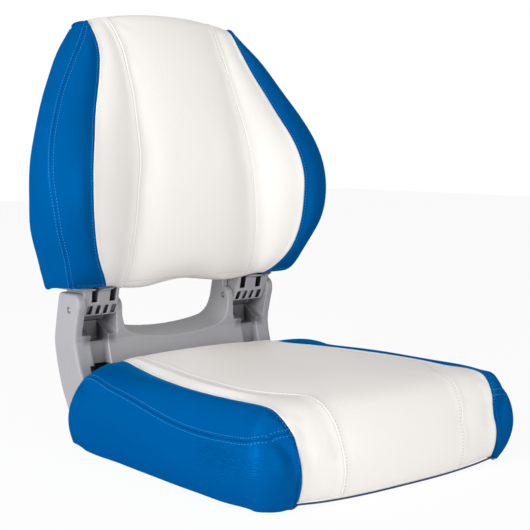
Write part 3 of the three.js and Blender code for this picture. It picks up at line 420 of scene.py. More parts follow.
def closed_over(net, base):
    """The net closed by a grid across its underside, for the pad inside it."""
    points, faces = list(net["points"]), list(net["faces"])
    ring = dict(zip(net["loop"], net["hem"]))
    last, width = net["last"], net["width"]
    for row in range(1, last):
        left, right = points[ring[(row, 0)]], points[ring[(row, width)]]
        for column in range(1, width):
            p, q = (blend(left[k], right[k], column / width) for k in range(2))
            ring[(row, column)] = len(points)
            points.append((p, q, base(p, q)))
    for row in range(last):
        for column in range(width):
            faces.append((ring[(row + 1, column)], ring[(row + 1, column + 1)],
                          ring[(row, column + 1)], ring[(row, column)]))
    return {**net, "points": points, "faces": faces, "panels": [0] * len(faces)}


def evaluated_mesh(piece):
    graph = bpy.context.evaluated_depsgraph_get()
    return bpy.data.meshes.new_from_object(piece.evaluated_get(graph))


def smooth(piece, levels):
    smoothing = piece.modifiers.new("smooth", "SUBSURF")
    smoothing.levels = smoothing.render_levels = levels


def smooth_cover(name, net, levels, folds=(), rounds=5):
    """A fine mesh that passes smoothly through every point of the net, but for sharp folds.
    With no rounds of correction it lies a little inside the net."""
    points, faces, panels = net
    targets = [Vector(point) for point in points]
    mesh = new_mesh(name, points, faces)
    mesh.polygons.foreach_set("material_index", panels)
    for _ in panel_kinds:
        mesh.materials.append(None)
    sharpness = mesh.attributes.new("crease_edge", "FLOAT", "EDGE")
    for edge in mesh.edges:
        if tuple(edge.vertices) in folds:
            sharpness.data[edge.index].value = 1.0
    piece = new_thing(name, mesh)
    smooth(piece, levels)
    controls = [target.copy() for target in targets]
    for _ in range(rounds):
        fine = evaluated_mesh(piece)
        for n, target in enumerate(targets):
            controls[n] += target - fine.vertices[n].co
            mesh.vertices[n].co = controls[n]
        mesh.update()
        bpy.data.meshes.remove(fine)
    piece.data = evaluated_mesh(piece)
    piece.modifiers.clear()
    return piece


def seat_base(p, q):
    """The height of the cover's lower edge, which clears the frame's neck at the rear."""
    if q > seat_neck_start and abs(p) < seat_neck_half:
        return seat_neck_z
    rear, side = ease(q, *seat_rear_reach), ease(abs(p), *seat_side_reach)
    front = ease(-q, *seat_front_reach) * (1 - side)
    return (seat_skirt_z + seat_rear_rise * rear - seat_side_drop * side * (1 - rear)
            + seat_front_rise * front * min(1.0, abs(p) / seat_side_reach[0]) ** 3)


# How plump the centre, strips and bolsters are, and the swell and tuck of the rear and front end.
seat_plump, seat_end_swell = (0.003, 0.0015, 0.016), ((0.004, 0.0), (0.0045, -0.0035))
seat_net = cover_net(seat_rows, seat_plump, seat_base, seat_end_swell, (13, 14))

# Back cushion: foam sewn into the same seven panels, domed towards the sitter and pinched in at
# the waist. Its blue bolsters meet the blue sides in a seam down the front of each wing.
back_bottom_z, back_height, back_top_lift, back_half = 0.213, 0.357, 0.0132, 0.240
back_front_y, back_rake = 0.150, 0.106
back_rear_span, back_rear_y, back_rear_rake = 0.374, 0.224, 0.071
back_rear_shares = (0.465, 0.43, 0.24, 0.066, 0, 0.04, 0.205, 0.462, 0.697, 0.894, 1)
back_side_unit, back_dip_share = 0.004, 0.09
# Each row, as shares: up the height; lift of the middle; the white, blue and side seams across
# and back; fullness; and the side's swell and tuck in shares of the side's unit.
back_row_shares = (
    (0, 0.05, 0.463, 0.472, 0.58, 0.396, 0.79, 0.466, 0.3, 0.35, -1.25),
    (0.017, 0.05, 0.463, 0.396, 0.608, 0.302, 0.819, 0.39, 0.6, 0.93, -0.1),
    (0.056, 0, 0.463, 0.302, 0.655, 0.189, 0.852, 0.317, 0.9, 0.85, 0.75),
    (0.118, 0, 0.458, 0.236, 0.713, 0.094, 0.89, 0.232, 1, 0.83, 1.05),
    (0.216, 0, 0.446, 0.179, 0.754, 0.028, 0.959, 0.122, 1, 0.85, 1),
    (0.314, 0, 0.433, 0.16, 0.769, 0.005, 0.992, 0.094, 1, 0.93, 1),
    (0.398, 0, 0.421, 0.16, 0.771, 0, 1.003, 0.125, 1, 1.03, 1.05),
    (0.482, 0, 0.404, 0.179, 0.754, 0.047, 0.99, 0.185, 1, 1.13, 0.92),
    (0.566, 0, 0.396, 0.245, 0.717, 0.142, 0.953, 0.278, 1, 1.28, 1.03),
    (0.65, 0, 0.383, 0.34, 0.667, 0.292, 0.893, 0.394, 1, 1.48, 0.95),
    (0.734, 0.04, 0.371, 0.443, 0.613, 0.415, 0.821, 0.522, 1, 1.42, 1.08),
    (0.812, 0.12, 0.367, 0.557, 0.563, 0.538, 0.747, 0.614, 0.9, 1.58, 1.08),
    (0.884, 0.38, 0.363, 0.67, 0.529, 0.651, 0.678, 0.696, 0.7, 1.8, 0.92),
    (0.942, 0.62, 0.367, 0.802, 0.517, 0.774, 0.607, 0.799, 0.5, 1.55, 0.9),
    (0.983, 0.88, 0.379, 0.906, 0.517, 0.887, 0.56, 0.888, 0.3, 0.75, 1.25),
    (1.006, 1, 0.388, 1, 0.513, 1, 0.533, 0.989, 0.2, 0.3, 1.5),
)


def back_rear_at(z):
    """How far back the cushion's rear edge lies at a height."""
    last = len(back_rear_shares) - 1
    place = ease(z, back_bottom_z, back_bottom_z + back_rear_span) * last
    n = min(last - 1, int(place))
    return back_rear_y + back_rear_rake * through(back_rear_shares, n, place - n)


back_rows = []
for u, lift, wx, wy, bx, by, ex, ey, fullness, swell, tuck in back_row_shares:
    back_rows.append({
        "along": back_bottom_z + u * back_height, "lift": lift * back_top_lift,
        "white": (wx * back_half, -(back_front_y + wy * back_rake)),
        "blue": (bx * back_half, -(back_front_y + by * back_rake)),
        "edge": (ex * back_half, -(back_front_y + ey * back_rake)),
        "full": fullness, "bolster": fullness, "swell": swell * back_side_unit,
        "tuck": -tuck * back_side_unit, "dip": max(0.0, 1 - u / back_dip_share)})
# The shoulders slope down at the ends of the top row.
back_rows[15]["drawn"] = (back_rows[14], (0, 0, 0, 0, 0, 0.08, 0.24, 0.45, 0.68))
back_plump, back_end_swell = (0.004, 0.002, 0.007), ((0.0014, -0.004), (0.0012, -0.004))
back_net = cover_net(back_rows, back_plump, lambda p, q: -back_rear_at(q), back_end_swell, ())

# Foam: cut yellowish polyurethane with fine open cells. It fills both covers, glued to the boards.
boards_top = 0.0255
foam_pale, foam_dark = (0.62, 0.52, 0.30, 1.0), (0.78, 0.70, 0.48, 1.0)
foam_cell_scale, foam_cell_depth = 900.0, 0.0003
foam_rubber, tree, bsdf = new_material("foam_rubber")
cells = shader(tree, "TexVoronoi", {"Vector": object_place(tree),
                                    "Scale": foam_cell_scale}).outputs["Distance"]
feed(tree, bsdf, {"Base Color": mixed(tree, foam_pale, foam_dark, cells), "Roughness": 0.95,
                  "Specular IOR Level": 0.1, "Normal": bumped(tree, cells, foam_cell_depth)})

# Cover making: each cushion's form is puffed a little as cloth under pressure, its seams stay
# sewn down, and the seam's own shape is pressed in before the panels are cut apart.
puff_cap, puff_start, puff_frames = 0.004, 0.0012, 20
puff_cloth = {"use_pressure": True, "uniform_pressure_force": 4.0, "quality": 5, "mass": 0.4,
              "tension_stiffness": 25.0, "compression_stiffness": 25.0, "bending_stiffness": 2.0}
centre, strip_l, strip_r, bolster_l, bolster_r, side_l, side_r = range(7)
seam_zone = 0.0075
seam_step, seam_spot_step = 0.0011, 0.001
# Rounds of cuts for edges that cross a seam: how many, how long an edge must be for them in
# steps, and how far along the seam it may still lean.
seam_cuts, seam_cut_slack, seam_lean_limit = (3, 1, 1), 0.75, 0.7
smallest_gap = 1e-7
seam_pull, seam_pull_reach = 0.0005, 0.012
groove_depth, groove_reach, white_groove_share = 0.0004, 0.0005, 0.45
fold_height, fold_soft = 0.0001, 0.0014
stitch_dip, stitch_reach = 0.00015, 0.0006
sheet_thickness = 0.0011


def edge_panels(mesh):
    """Each edge's pair of vertices, and the panels of the faces beside it."""
    beside = {}
    for face in mesh.polygons:
        for key in face.edge_keys:
            beside.setdefault(key, []).append(face.material_index)
    return beside


def seam_edges(mesh):
    """Pairs of vertices along every seam, with the two panels that meet there."""
    return [(key, min(two), max(two)) for key, two in edge_panels(mesh).items()
            if len(two) == 2 and two[0] != two[1]]


def hem_vertices(mesh):
    return {n for key, panels in edge_panels(mesh).items() if len(panels) == 1 for n in key}


def puff(piece, still):
    """Lets the panels swell under pressure between their pinned seams and turned hem."""
    mesh = piece.data
    rest = [v.co.copy() for v in mesh.vertices]
    normals = [v.normal.copy() for v in mesh.vertices]
    held = hem_vertices(mesh) | {n for n, place in enumerate(rest) if still(place)}
    for key, _, _ in seam_edges(mesh):
        held.update(key)
    for n, vertex in enumerate(mesh.vertices):
        if n not in held:
            vertex.co = rest[n] - normals[n] * puff_start
    pinned = piece.vertex_groups.new(name="sewn")
    pinned.add(sorted(held), 1.0, "REPLACE")
    cloth = piece.modifiers.new("cloth", "CLOTH")
    cloth.settings.vertex_group_mass = "sewn"
    for name, value in puff_cloth.items():
        setattr(cloth.settings, name, value)
    cloth.settings.effector_weights.gravity = 0.0
    cloth.collision_settings.use_collision = False
    cloth.point_cache.frame_start, cloth.point_cache.frame_end = 1, puff_frames
    for step in range(1, puff_frames + 1):
        bpy.context.scene.frame_set(step)
    puffed = evaluated_mesh(piece)
    piece.modifiers.clear()
    piece.vertex_groups.clear()
    bpy.context.scene.frame_set(1)
    for n, vertex in enumerate(mesh.vertices):
        move = puffed.vertices[n].co - rest[n]
        if move.length > puff_cap:
            move = move.normalized() * puff_cap
        vertex.co = rest[n] + move
    mesh.update()
    bpy.data.meshes.remove(puffed)


def subdivided(piece, levels):
    """A copy of the piece's mesh after some rounds of subdivision."""
    smooth(piece, levels)
    mesh = evaluated_mesh(piece)
    piece.modifiers.clear()
    return mesh


def seam_lines(mesh):
    """Each seam between two panels as an ordered line of points."""
    by_pair = {}
    for (a, b), low, high in seam_edges(mesh):
        by_pair.setdefault((low, high), []).append((a, b))
    lines = []
    for pair, edges in by_pair.items():
        beside = {}
        for a, b in edges:
            beside.setdefault(a, []).append(b)
            beside.setdefault(b, []).append(a)
        loose = set(beside)
        while loose:
            ends = sorted(n for n in loose if len(beside[n]) == 1)
            start = ends[0] if ends else min(loose)
            line, here = [], start
            while here is not None:
                line.append(here)
                loose.discard(here)
                here = next((n for n in beside[here] if n in loose), None)
            lines.append((pair, [mesh.vertices[n].co.copy() for n in line]))
    return lines


def along_line(points, step):
    """Even steps along a line of points: place and direction."""
    spots, travelled, target = [], 0.0, 0.0
    for a, b in zip(points, points[1:]):
        length = (b - a).length
        while target <= travelled + length and length > 0:
            spots.append((a.lerp(b, (target - travelled) / length), (b - a).normalized()))
            target += step
        travelled += length
    return spots


def seam_finder(lines):
    """A tree of close points along the seams, with each point's panels and direction."""
    spots = [(place, way, pair) for pair, points in lines
             for place, way in along_line(points, seam_spot_step)]
    tree = kdtree.KDTree(len(spots))
    for n, (place, _, _) in enumerate(spots):
        tree.insert(place, n)
    tree.balance()
    return tree, spots


def refine_by_seams(mesh, tree, spots):
    """Cuts the faces near seams into strips that run along them."""
    work = bmesh.new()
    work.from_mesh(mesh)
    for cuts in seam_cuts:
        chosen = []
        for edge in work.edges:
            a, b = edge.verts[0].co, edge.verts[1].co
            length = (b - a).length
            if length < seam_step * (cuts + 1) * seam_cut_slack:
                continue
            _, n, near = tree.find((a + b) / 2)
            if near < seam_zone and abs((b - a).normalized().dot(spots[n][1])) < seam_lean_limit:
                chosen.append(edge)
        bmesh.ops.subdivide_edges(work, edges=chosen, cuts=cuts, use_grid_fill=True)
    fine = bpy.data.meshes.new(mesh.name + "_fine")
    work.to_mesh(fine)
    work.free()
    return fine


def surface_of(mesh):
    """A mesh's faces as a tree that finds the nearest point."""
    return BVHTree.FromPolygons([v.co for v in mesh.vertices],
                                [tuple(f.vertices) for f in mesh.polygons])


def make_cover(name, net, folds, stitched, still, gathers):
    """The whole cover in one fine mesh, with the seams pressed in, and the seam lines."""
    piece = smooth_cover(name, net, 2, folds)
    puff(piece, still)
    carrier, reference = subdivided(piece, 2), subdivided(piece, 2)
    lines = seam_lines(reference)
    tree, spots = seam_finder(lines)
    surface = surface_of(reference)
    fine = refine_by_seams(carrier, tree, spots)
    panels_at = [set() for _ in fine.vertices]
    for face in fine.polygons:
        for n in face.vertices:
            panels_at[n].add(face.material_index)
    slopes = reference.polygons
    gather = fine.attributes.new("gather", "FLOAT", "POINT")
    for n, vertex in enumerate(fine.vertices):
        place, _, face, _ = surface.find_nearest(vertex.co)
        corners = [reference.vertices[k] for k in slopes[face].vertices]
        weights = [1.0 / (smallest_gap + (corner.co - place).length) for corner in corners]
        normal = sum((c.normal * w for c, w in zip(corners, weights)), Vector()).normalized()
        _, nearest, near = tree.find(place)
        pair = spots[nearest][2]
        shape = -seam_pull * math.exp(-near / seam_pull_reach)
        if len(panels_at[n]) > 1:
            near = 0.0
        share = white_groove_share if max(pair) < bolster_l else 1.0
        shape -= share * groove_depth * math.exp(-(near / groove_reach) ** 2)
        for row in stitched.get(pair, {}).get(min(panels_at[n]), ()):
            band = min(1.0, near / fold_soft) * min(1.0, max(0.0, (row - near) / fold_soft))
            shape += fold_height * band
            shape -= stitch_dip * math.exp(-((near - row) / stitch_reach) ** 2)
        vertex.co = place + normal * shape
        spot = (abs(place.x), place.y, place.z)
        gather.data[n].value = max([0.0] + [math.exp(-sum(
            ((at - aim) / span) ** 2 for at, aim, span in zip(spot, middle, reach)))
            for middle, reach in gathers])
    fine.update()
    bpy.data.meshes.remove(carrier)
    old = piece.data
    piece.data = fine
    bpy.data.meshes.remove(old)
    skin = surface_of(fine)
    return piece, lines, surface, skin, [f.material_index for f in fine.polygons]


def cut_panels(piece, prefix, body, nodes):
    """One object for each panel, as thick as the sheet, in place of its CAD cover."""
    for n, kind in enumerate(panel_kinds):
        work = bmesh.new()
        work.from_mesh(piece.data)
        away = [face for face in work.faces if face.material_index != n]
        bmesh.ops.delete(work, geom=away, context="FACES")
        for face in work.faces:
            face.material_index = 0
            face.smooth = True
        mesh = bpy.data.meshes.new(prefix + kind)
        work.to_mesh(mesh)
        work.free()
        panel = new_thing(prefix + kind, mesh)
        blue = kind.startswith(("bolster", "side"))
        mesh.materials.append(blue_vinyl if blue else white_vinyl)
        thick = panel.modifiers.new("thickness", "SOLIDIFY")
        thick.thickness = sheet_thickness
        thick.offset = -1.0
        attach(panel, body)
        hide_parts(nodes[n])
    bpy.data.objects.remove(piece)


# Which side of each seam carries stitch rows, and how far from the seam they run.
near_row = (0.0038,)
stitched_rows = {}
for strip, bolster, side in ((strip_l, bolster_l, side_l), (strip_r, bolster_r, side_r)):
    stitched_rows[(centre, strip)] = {centre: near_row}
    stitched_rows[(strip, bolster)] = {bolster: near_row}
    stitched_rows[(strip, side)] = {side: near_row}
    stitched_rows[(bolster, side)] = {bolster: near_row, side: near_row}
# Where the vinyl is drawn together and ripples: the middle and the reach of each place.
seat_gathers = (((0.205, -0.150, 0.056), (0.05, 0.055, 0.02)),
                ((0.19, 0.165, 0.085), (0.05, 0.022, 0.012)))
back_gathers = (((0.15, -0.11, 0.235), (0.05, 0.06, 0.008)),)
stapled_z, held_corner, stapled_depth = 0.005, (0.16, -0.206), 0.001
hem_turn = 0.012
pad_inset = 0.0065
pad_rise = 0.010
pad_clearance = 0.0024


def fold_edges(net):
    hem = net["hem"]
    return {(min(a, b), max(a, b)) for a, b in zip(hem, hem[1:] + hem[:1])}


def inner_pad(name, net, place, reverse, body, node, skin):
    """The foam that fills a cover: its own form drawn in a little, and closed at the back."""
    pad = smooth_cover(name, placed(net, place, reverse), 2, rounds=0)
    pad.data.materials.clear()
    for vertex, normal in zip(pad.data.vertices, [v.normal.copy() for v in pad.data.vertices]):
        vertex.co -= normal * pad_inset
        for _ in range(3):
            near, outwards, _, _ = skin.find_nearest(vertex.co)
            depth = (near - vertex.co).dot(outwards)
            if depth < pad_clearance:
                vertex.co -= outwards * (pad_clearance - depth)
    for face in pad.data.polygons:
        face.material_index = 0
        face.use_smooth = True
    pad.data.materials.append(foam_rubber)
    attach(pad, body)
    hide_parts(node)


def seat_place(p, q, out):
    return (p, q, out)


def back_place(p, q, out):
    return (p, -out, q)


def seat_stays(at):
    """Stapled to the board along the lower edge, and held at the front corners."""
    return at.z < stapled_z or (abs(at.x) > held_corner[0] and at.y < held_corner[1])


def back_stays(at):
    return at.y > back_rear_at(at.z) - stapled_depth


seat_cover, seat_lines, seat_form, seat_skin, seat_kinds = make_cover(
    "seat_cover_form", placed(turned_under(seat_net, seat_base, hem_turn), seat_place, True),
    fold_edges(seat_net), stitched_rows, seat_stays, seat_gathers)
cut_panels(seat_cover, "seat_panel_", "seat", ["seat_cover_" + kind for kind in panel_kinds])
inner_pad("seat_pad", closed_over(seat_net, lambda p, q: boards_top), seat_place, True,
          "seat", "seat_foam", seat_skin)
back_cover, back_lines, back_form, back_skin, back_kinds = make_cover(
    "back_cover_form",
    placed(turned_under(back_net, lambda p, q: -back_rear_at(q), hem_turn), back_place, False),
    fold_edges(back_net), stitched_rows, back_stays, back_gathers)
cut_panels(back_cover, "back_panel_", "back", ["back_cover_" + kind for kind in panel_kinds])
inner_pad("back_pad", closed_over(back_net, lambda p, q: pad_rise - back_rear_at(q)), back_place, False,
          "back", "back_foam", back_skin)

# Stitches: a single run of thread beside each seam, pulled a little into the vinyl. The thread
# is a lighter blue on the blue panels; on the white ones it is grey, painted shade for its holes.
stitch_pitch, stitch_length, stitch_radius = 0.0043, 0.0021, 0.0004
# Each ring of a stitch, as shares: along it, its width, and its height.
stitch_rings = ((-1.0, 0.35, -0.9), (-0.7, 0.85, -0.1), (0.0, 1.0, 0.35), (0.7, 0.85, -0.1),
                (1.0, 0.35, -0.9))
stitch_sides = 6
# How far off a stitch may lie: its turn, its length as shares, and its place along the seam.
stitch_turn, stitch_stretch, stitch_slip = 0.07, (0.92, 1.06), 0.00012
stitch_probe = 0.002
hem_row_half, hem_row_z = 43, 0.2185
strand_scale, strand_depth = 900.0, 0.0001
shaker = random.Random(4)


def shade_of(colour, share):
    return [part * share for part in colour[:3]] + [1.0]


def thread_material(name, colour):
    """Twisted polyester thread: slanting strands with a soft sheen."""
    material, tree, bsdf = new_material(name)
    strands = shader(tree, "TexWave", {"Vector": object_place(tree), "Scale": strand_scale,
                                       "Distortion": 1.5}, bands_direction="DIAGONAL").outputs["Fac"]
    feed(tree, bsdf, {"Base Color": mixed(tree, shade_of(colour, 0.82), colour, strands),
                      "Roughness": 0.6, "Specular IOR Level": 0.2,
                      "Normal": bumped(tree, strands, strand_depth)})
    return material


blue_thread = thread_material("blue_thread", (0.055, 0.29, 0.65, 1.0))
# Painted shade: the off-white thread is made grey for the shadow in its stitch holes.
white_thread = thread_material("white_thread", (0.50, 0.48, 0.46, 1.0))


def stitch_spots(lines, stitched, form, skin, kinds):
    """Where each stitch lies: place, way along the seam, normal, and the panel that it is in."""
    for pair, points in lines:
        for panel, rows in stitched.get(pair, {}).items():
            for row in rows:
                for place, way in along_line(points, stitch_pitch):
                    near = [form.find_nearest(place + way * step)[1]
                            for step in (-stitch_probe, stitch_probe)]
                    across = (near[0] + near[1]).cross(way).normalized()
                    hits = [skin.find_nearest(place + across * side * row) for side in (1, -1)]
                    hits = [hit for hit in hits if hit[0] is not None and kinds[hit[2]] == panel]
                    if hits:
                        yield hits[0][0], way, form.find_nearest(hits[0][0])[1], panel


def ring_points(middle, first, second, radius, sides):
    """Points round a circle in the plane of two directions."""
    turns = [2 * math.pi * n / sides for n in range(sides)]
    return [middle + (first * math.cos(turn) + second * math.sin(turn)) * radius for turn in turns]


def ring_faces(start, rings, sides):
    """The faces of a tube of rings of points, with those of its two ends last."""
    faces = []
    for ring in range(rings - 1):
        for side in range(sides):
            a, b = (start + ring * sides + place % sides for place in (side, side + 1))
            faces.append((a, b, b + sides, a + sides))
    end = start + (rings - 1) * sides
    return faces + [tuple(range(start + sides - 1, start - 1, -1)), tuple(range(end, end + sides))]


def sew(name, spots, material, body):
    """One mesh for all the stitches of a colour: short threads whose ends dive into the vinyl."""
    points, faces = [], []
    for place, way, normal in spots:
        way = (way - normal * way.dot(normal)).normalized()
        way = (way + normal.cross(way) * shaker.uniform(-stitch_turn, stitch_turn)).normalized()
        across = normal.cross(way)
        half = stitch_length / 2 * shaker.uniform(*stitch_stretch)
        middle = place + way * shaker.uniform(-stitch_slip, stitch_slip)
        start = len(points)
        for along, thick, up in stitch_rings:
            centre = middle + way * half * along + normal * stitch_radius * up
            points += ring_points(centre, across, normal, stitch_radius * thick, stitch_sides)
        faces += ring_faces(start, len(stitch_rings), stitch_sides)
    mesh = new_mesh(name, points, faces)
    mesh.shade_smooth()
    mesh.materials.append(material)
    thread = new_thing(name, mesh)
    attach(thread, body)
    return thread


whites = (centre, strip_l, strip_r)
for body, lines, form, skin, kinds in (("seat", seat_lines, seat_form, seat_skin, seat_kinds),
                                       ("back", back_lines, back_form, back_skin, back_kinds)):
    spots = list(stitch_spots(lines, stitched_rows, form, skin, kinds))
    white_ones = [spot[:3] for spot in spots if spot[3] in whites]
    blue_ones = [spot[:3] for spot in spots if spot[3] not in whites]
    if body == "back":
        for n in range(-hem_row_half, hem_row_half + 1):
            start = Vector((n * stitch_pitch, -1.0, hem_row_z))
            place, normal, face, _ = skin.ray_cast(start, Vector((0, 1, 0)))
            if place is not None:
                row = white_ones if kinds[face] in whites else blue_ones
                row.append((place, Vector((1, 0, 0)), normal))
    sew(body + "_white_stitches", white_ones, white_thread, body)
    sew(body + "_blue_stitches", blue_ones, blue_thread, body)

# Moulded frames: mid grey glass-filled nylon, with a fine spark-eroded skin, soft mould radii on every
# edge and faint flow clouding.
# Sharp edges are painted lighter as a highlight, hollows get painted shade, and the deep pockets a
# painted shadow.
plastic_colour = (0.32, 0.317, 0.333, 1.0)
# Painted highlight: the lighter grey laid on sharp edges.
painted_edge_highlight = (0.60, 0.60, 0.61, 1.0)
# Painted shadow: the near black laid inside the knuckle's windows and the towers' pockets.
painted_pocket_shadow = (0.035, 0.035, 0.04, 1.0)
# Painted shade: the dark grey laid where other parts of the frame lie close.
painted_hollow_shade = (0.12, 0.12, 0.125, 1.0)
mould_smoothing = 3
pocket_reach = 0.028
pocket_back = 0.262
plastic_skin_depth = 0.00008
merge_reach = 0.00001


def moulded_plastic(name):
    material, tree, bsdf = new_material(name)
    place = object_place(tree)
    flow = shader(tree, "TexNoise", {"Vector": place, "Scale": 14.0, "Detail": 3.0}).outputs[0]
    skin = shader(tree, "TexNoise", {"Vector": place, "Scale": 1500.0, "Detail": 2.0}).outputs[0]
    clouded = mixed(tree, shade_of(plastic_colour, 0.93), shade_of(plastic_colour, 1.07), flow)
    # Painted highlight: sharp edges, found by pointiness, are coloured lighter.
    edge = ranged(tree, shader(tree, "NewGeometry").outputs["Pointiness"],
                  {"From Min": 0.52, "From Max": 0.60})
    edge_highlighted = mixed(tree, clouded, painted_edge_highlight, maths(tree, "MULTIPLY", edge, 0.7))
    # Painted shade: the colour darkens where the frame's own parts crowd close round a point.
    nearby = shader(tree, "AmbientOcclusion", {"Distance": pocket_reach}, samples=8, only_local=True)
    open_share = ranged(tree, nearby.outputs["AO"], {"From Min": 0.08, "From Max": 0.6})
    hollow_shaded = mixed(tree, painted_hollow_shade, edge_highlighted, open_share)
    # Painted shadow: inside the pockets the colour goes near black.
    deep = shader(tree, "Attribute", attribute_name="deep").outputs["Fac"]
    shadowed = mixed(tree, hollow_shaded, painted_pocket_shadow, maths(tree, "MULTIPLY", deep, 0.92))
    feed(tree, bsdf, {"Base Color": shadowed, "Specular IOR Level": 0.35,
                      "Roughness": ranged(tree, flow, {"To Min": 0.36, "To Max": 0.5}),
                      "Normal": bumped(tree, skin, plastic_skin_depth, 0.4)})
    return material


grey_plastic = moulded_plastic("grey_plastic")


def half_of(mesh, height, above):
    """The part of a mesh above or below a level, closed where it was cut."""
    work = bmesh.new()
    work.from_mesh(mesh)
    bmesh.ops.remove_doubles(work, verts=work.verts, dist=merge_reach)
    parts = bmesh.ops.bisect_plane(work, geom=work.verts[:] + work.edges[:] + work.faces[:],
                                   plane_co=(0, 0, height), plane_no=(0, 0, 1),
                                   clear_inner=above, clear_outer=not above)
    rim = [edge for edge in parts["geom_cut"] if isinstance(edge, bmesh.types.BMEdge)]
    bmesh.ops.triangle_fill(work, edges=rim, use_beauty=True, use_dissolve=False)
    bmesh.ops.recalc_face_normals(work, faces=work.faces)
    half = bpy.data.meshes.new(mesh.name + "_half")
    work.to_mesh(half)
    work.free()
    return half


def moulding(name, node, body, shaped, pockets, voxel, level=None):
    """The CAD frame with the soft edges of a moulding. Below a level its plain ribs stay crisp."""
    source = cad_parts[node].data
    mesh = source.copy() if level is None else half_of(source, level, True)
    for vertex in mesh.vertices:
        vertex.co = shaped(*vertex.co)
    piece = new_thing(name, mesh)
    grid = piece.modifiers.new("grid", "REMESH")
    grid.mode = "VOXEL"
    grid.voxel_size = voxel
    softer = piece.modifiers.new("softer", "SMOOTH")
    softer.factor = 0.5
    softer.iterations = mould_smoothing
    piece.data = evaluated_mesh(piece)
    piece.modifiers.clear()
    piece.data.shade_smooth()
    if level is not None:
        work = bmesh.new()
        work.from_mesh(piece.data)
        work.from_mesh(half_of(source, level, False))
        work.to_mesh(piece.data)
        work.free()
    # Painted shadow: each vertex inside a pocket gets a share of near black, growing with depth.
    deep = piece.data.attributes.new("deep", "FLOAT", "POINT")
    for n, vertex in enumerate(piece.data.vertices):
        x, y, z = vertex.co
        for low, high, face, strength, fade in pockets:
            inside = min(abs(x) - low[0], high[0] - abs(x), z - low[1], high[1] - z, y - face(z),
                         pocket_back - y)
            if inside > 0:
                deep.data[n].value = max(deep.data[n].value, strength * min(1.0, inside / fade))
    piece.data.materials.clear()
    piece.data.materials.append(grey_plastic)
    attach(piece, body)
    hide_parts(node)
    return piece


# The hinge towers' cheeks and the arms between them, eased sideways to where the photograph
# shows them: pairs of distance from the middle and the way outwards there.
cheek_shifts = ((0.0945, 0.0), (0.107, -0.0024), (0.12, -0.0006), (0.148, 0.0), (0.1605, 0.0012),
                (0.172, 0.0024))
knuckle_shifts = ((0.1, 0.0), (0.1074, -0.0024), (0.114, -0.0024), (0.123, -0.0006),
                  (0.1395, 0.0012), (0.146, 0.0014), (0.152, 0.0), (0.1601, 0.0009), (0.18, 0.0))
root_shifts = ((0.1, 0.0), (0.1074, -0.0024), (0.114, -0.0026), (0.1545, -0.0024), (0.1601, 0.0008),
               (0.18, 0.0))
cheek_reach_z, cheek_reach_y = (0.085, 0.14), (0.180, 0.192)
arm_inner_x = 0.1
knuckle_change_z, knuckle_fade_z, knuckle_front_y = (0.187, 0.1905), (0.222, 0.236), (0.222, 0.24)
window_bottom_z, knuckle_bottom_z, knuckle_middle_z, knuckle_level_z = 0.1722, 0.1735, 0.187, 0.191
knuckle_bottom_share, knuckle_lean, knuckle_slope = 0.13, 0.33, 0.21
flange_reach_x, flange_reach_y, flange_reach_z = (0.15, 0.16), (0.235, 0.25), (0.2065, 0.2085)
flange_side, flange_back = 0.005, 0.006
tower_face_y, knuckle_face_y = 0.2095, 0.2121
# The knuckle's open windows: inner side, width, bottom and top.
knuckle_windows = ((0.1505, 0.0076, 0.1722, 0.186), (0.1407, 0.0066, 0.1722, 0.186),
                   (0.1285, 0.007, 0.1722, 0.186), (0.1108, 0.0113, 0.1722, 0.186),
                   (0.1414, 0.01, 0.191, 0.2168), (0.1123, 0.01, 0.191, 0.2168))
window_margin = 0.0012
tower_pocket = ((0.1045, 0.13), (0.163, 0.176))
tower_voxel, knuckle_voxel, ribs_top_z = 0.001, 0.0008, 0.0137


def shift_at(shifts, x):
    for (a, low), (b, high) in zip(shifts, shifts[1:]):
        if a <= x <= b:
            return blend(low, high, (x - a) / (b - a))
    return shifts[-1][1] if x > shifts[-1][0] else 0.0


def shaped_tower(x, y, z):
    move = shift_at(cheek_shifts, abs(x)) * ease(z, *cheek_reach_z) * ease(y, *cheek_reach_y)
    return Vector((math.copysign(abs(x) + move, x), y, z))


def shaped_arm(x, y, z):
    """The arm, with its knuckle drawn up, leaned back below its middle and flanged above."""
    if z > knuckle_fade_z[1] or abs(x) < arm_inner_x:
        return Vector((x, y, z))
    fade = 1 - ease(z, *knuckle_fade_z)
    low, high = shift_at(knuckle_shifts, abs(x)), shift_at(root_shifts, abs(x))
    move = blend(low, high, ease(z, *knuckle_change_z)) * fade
    front = 1 - ease(y, *knuckle_front_y)
    if z < knuckle_bottom_z:
        z = window_bottom_z - (knuckle_bottom_z - z) * knuckle_bottom_share
    y += knuckle_lean * max(0.0, knuckle_middle_z - z) * front
    flange = ease(z, *flange_reach_z) * fade * ease(abs(x), *flange_reach_x)
    move += flange_side * flange
    y += flange_back * flange * ease(y, *flange_reach_y)
    return Vector((math.copysign(abs(x) + move, x), y, z))


def tower_face(z):
    return tower_face_y


def knuckle_face(z):
    """How far back the knuckle's pockets start, behind its leaning face."""
    return (knuckle_face_y + knuckle_slope * (knuckle_level_z - z)
            + knuckle_lean * max(0.0, knuckle_middle_z - z))


# Each pocket that gets a painted shadow: its corners from in front, its face, how dark, and over what
# depth it darkens.
moulding("seat_moulding", "seat_frame", "seat", shaped_tower,
         ((*tower_pocket, tower_face, 0.8, 0.01),), tower_voxel, ribs_top_z)
moulding("back_moulding", "back_frame", "back", shaped_arm,
         [((x - window_margin, low - window_margin), (x + width + window_margin, high + window_margin),
           knuckle_face, 1.0, 0.0006) for x, width, low, high in knuckle_windows], knuckle_voxel)

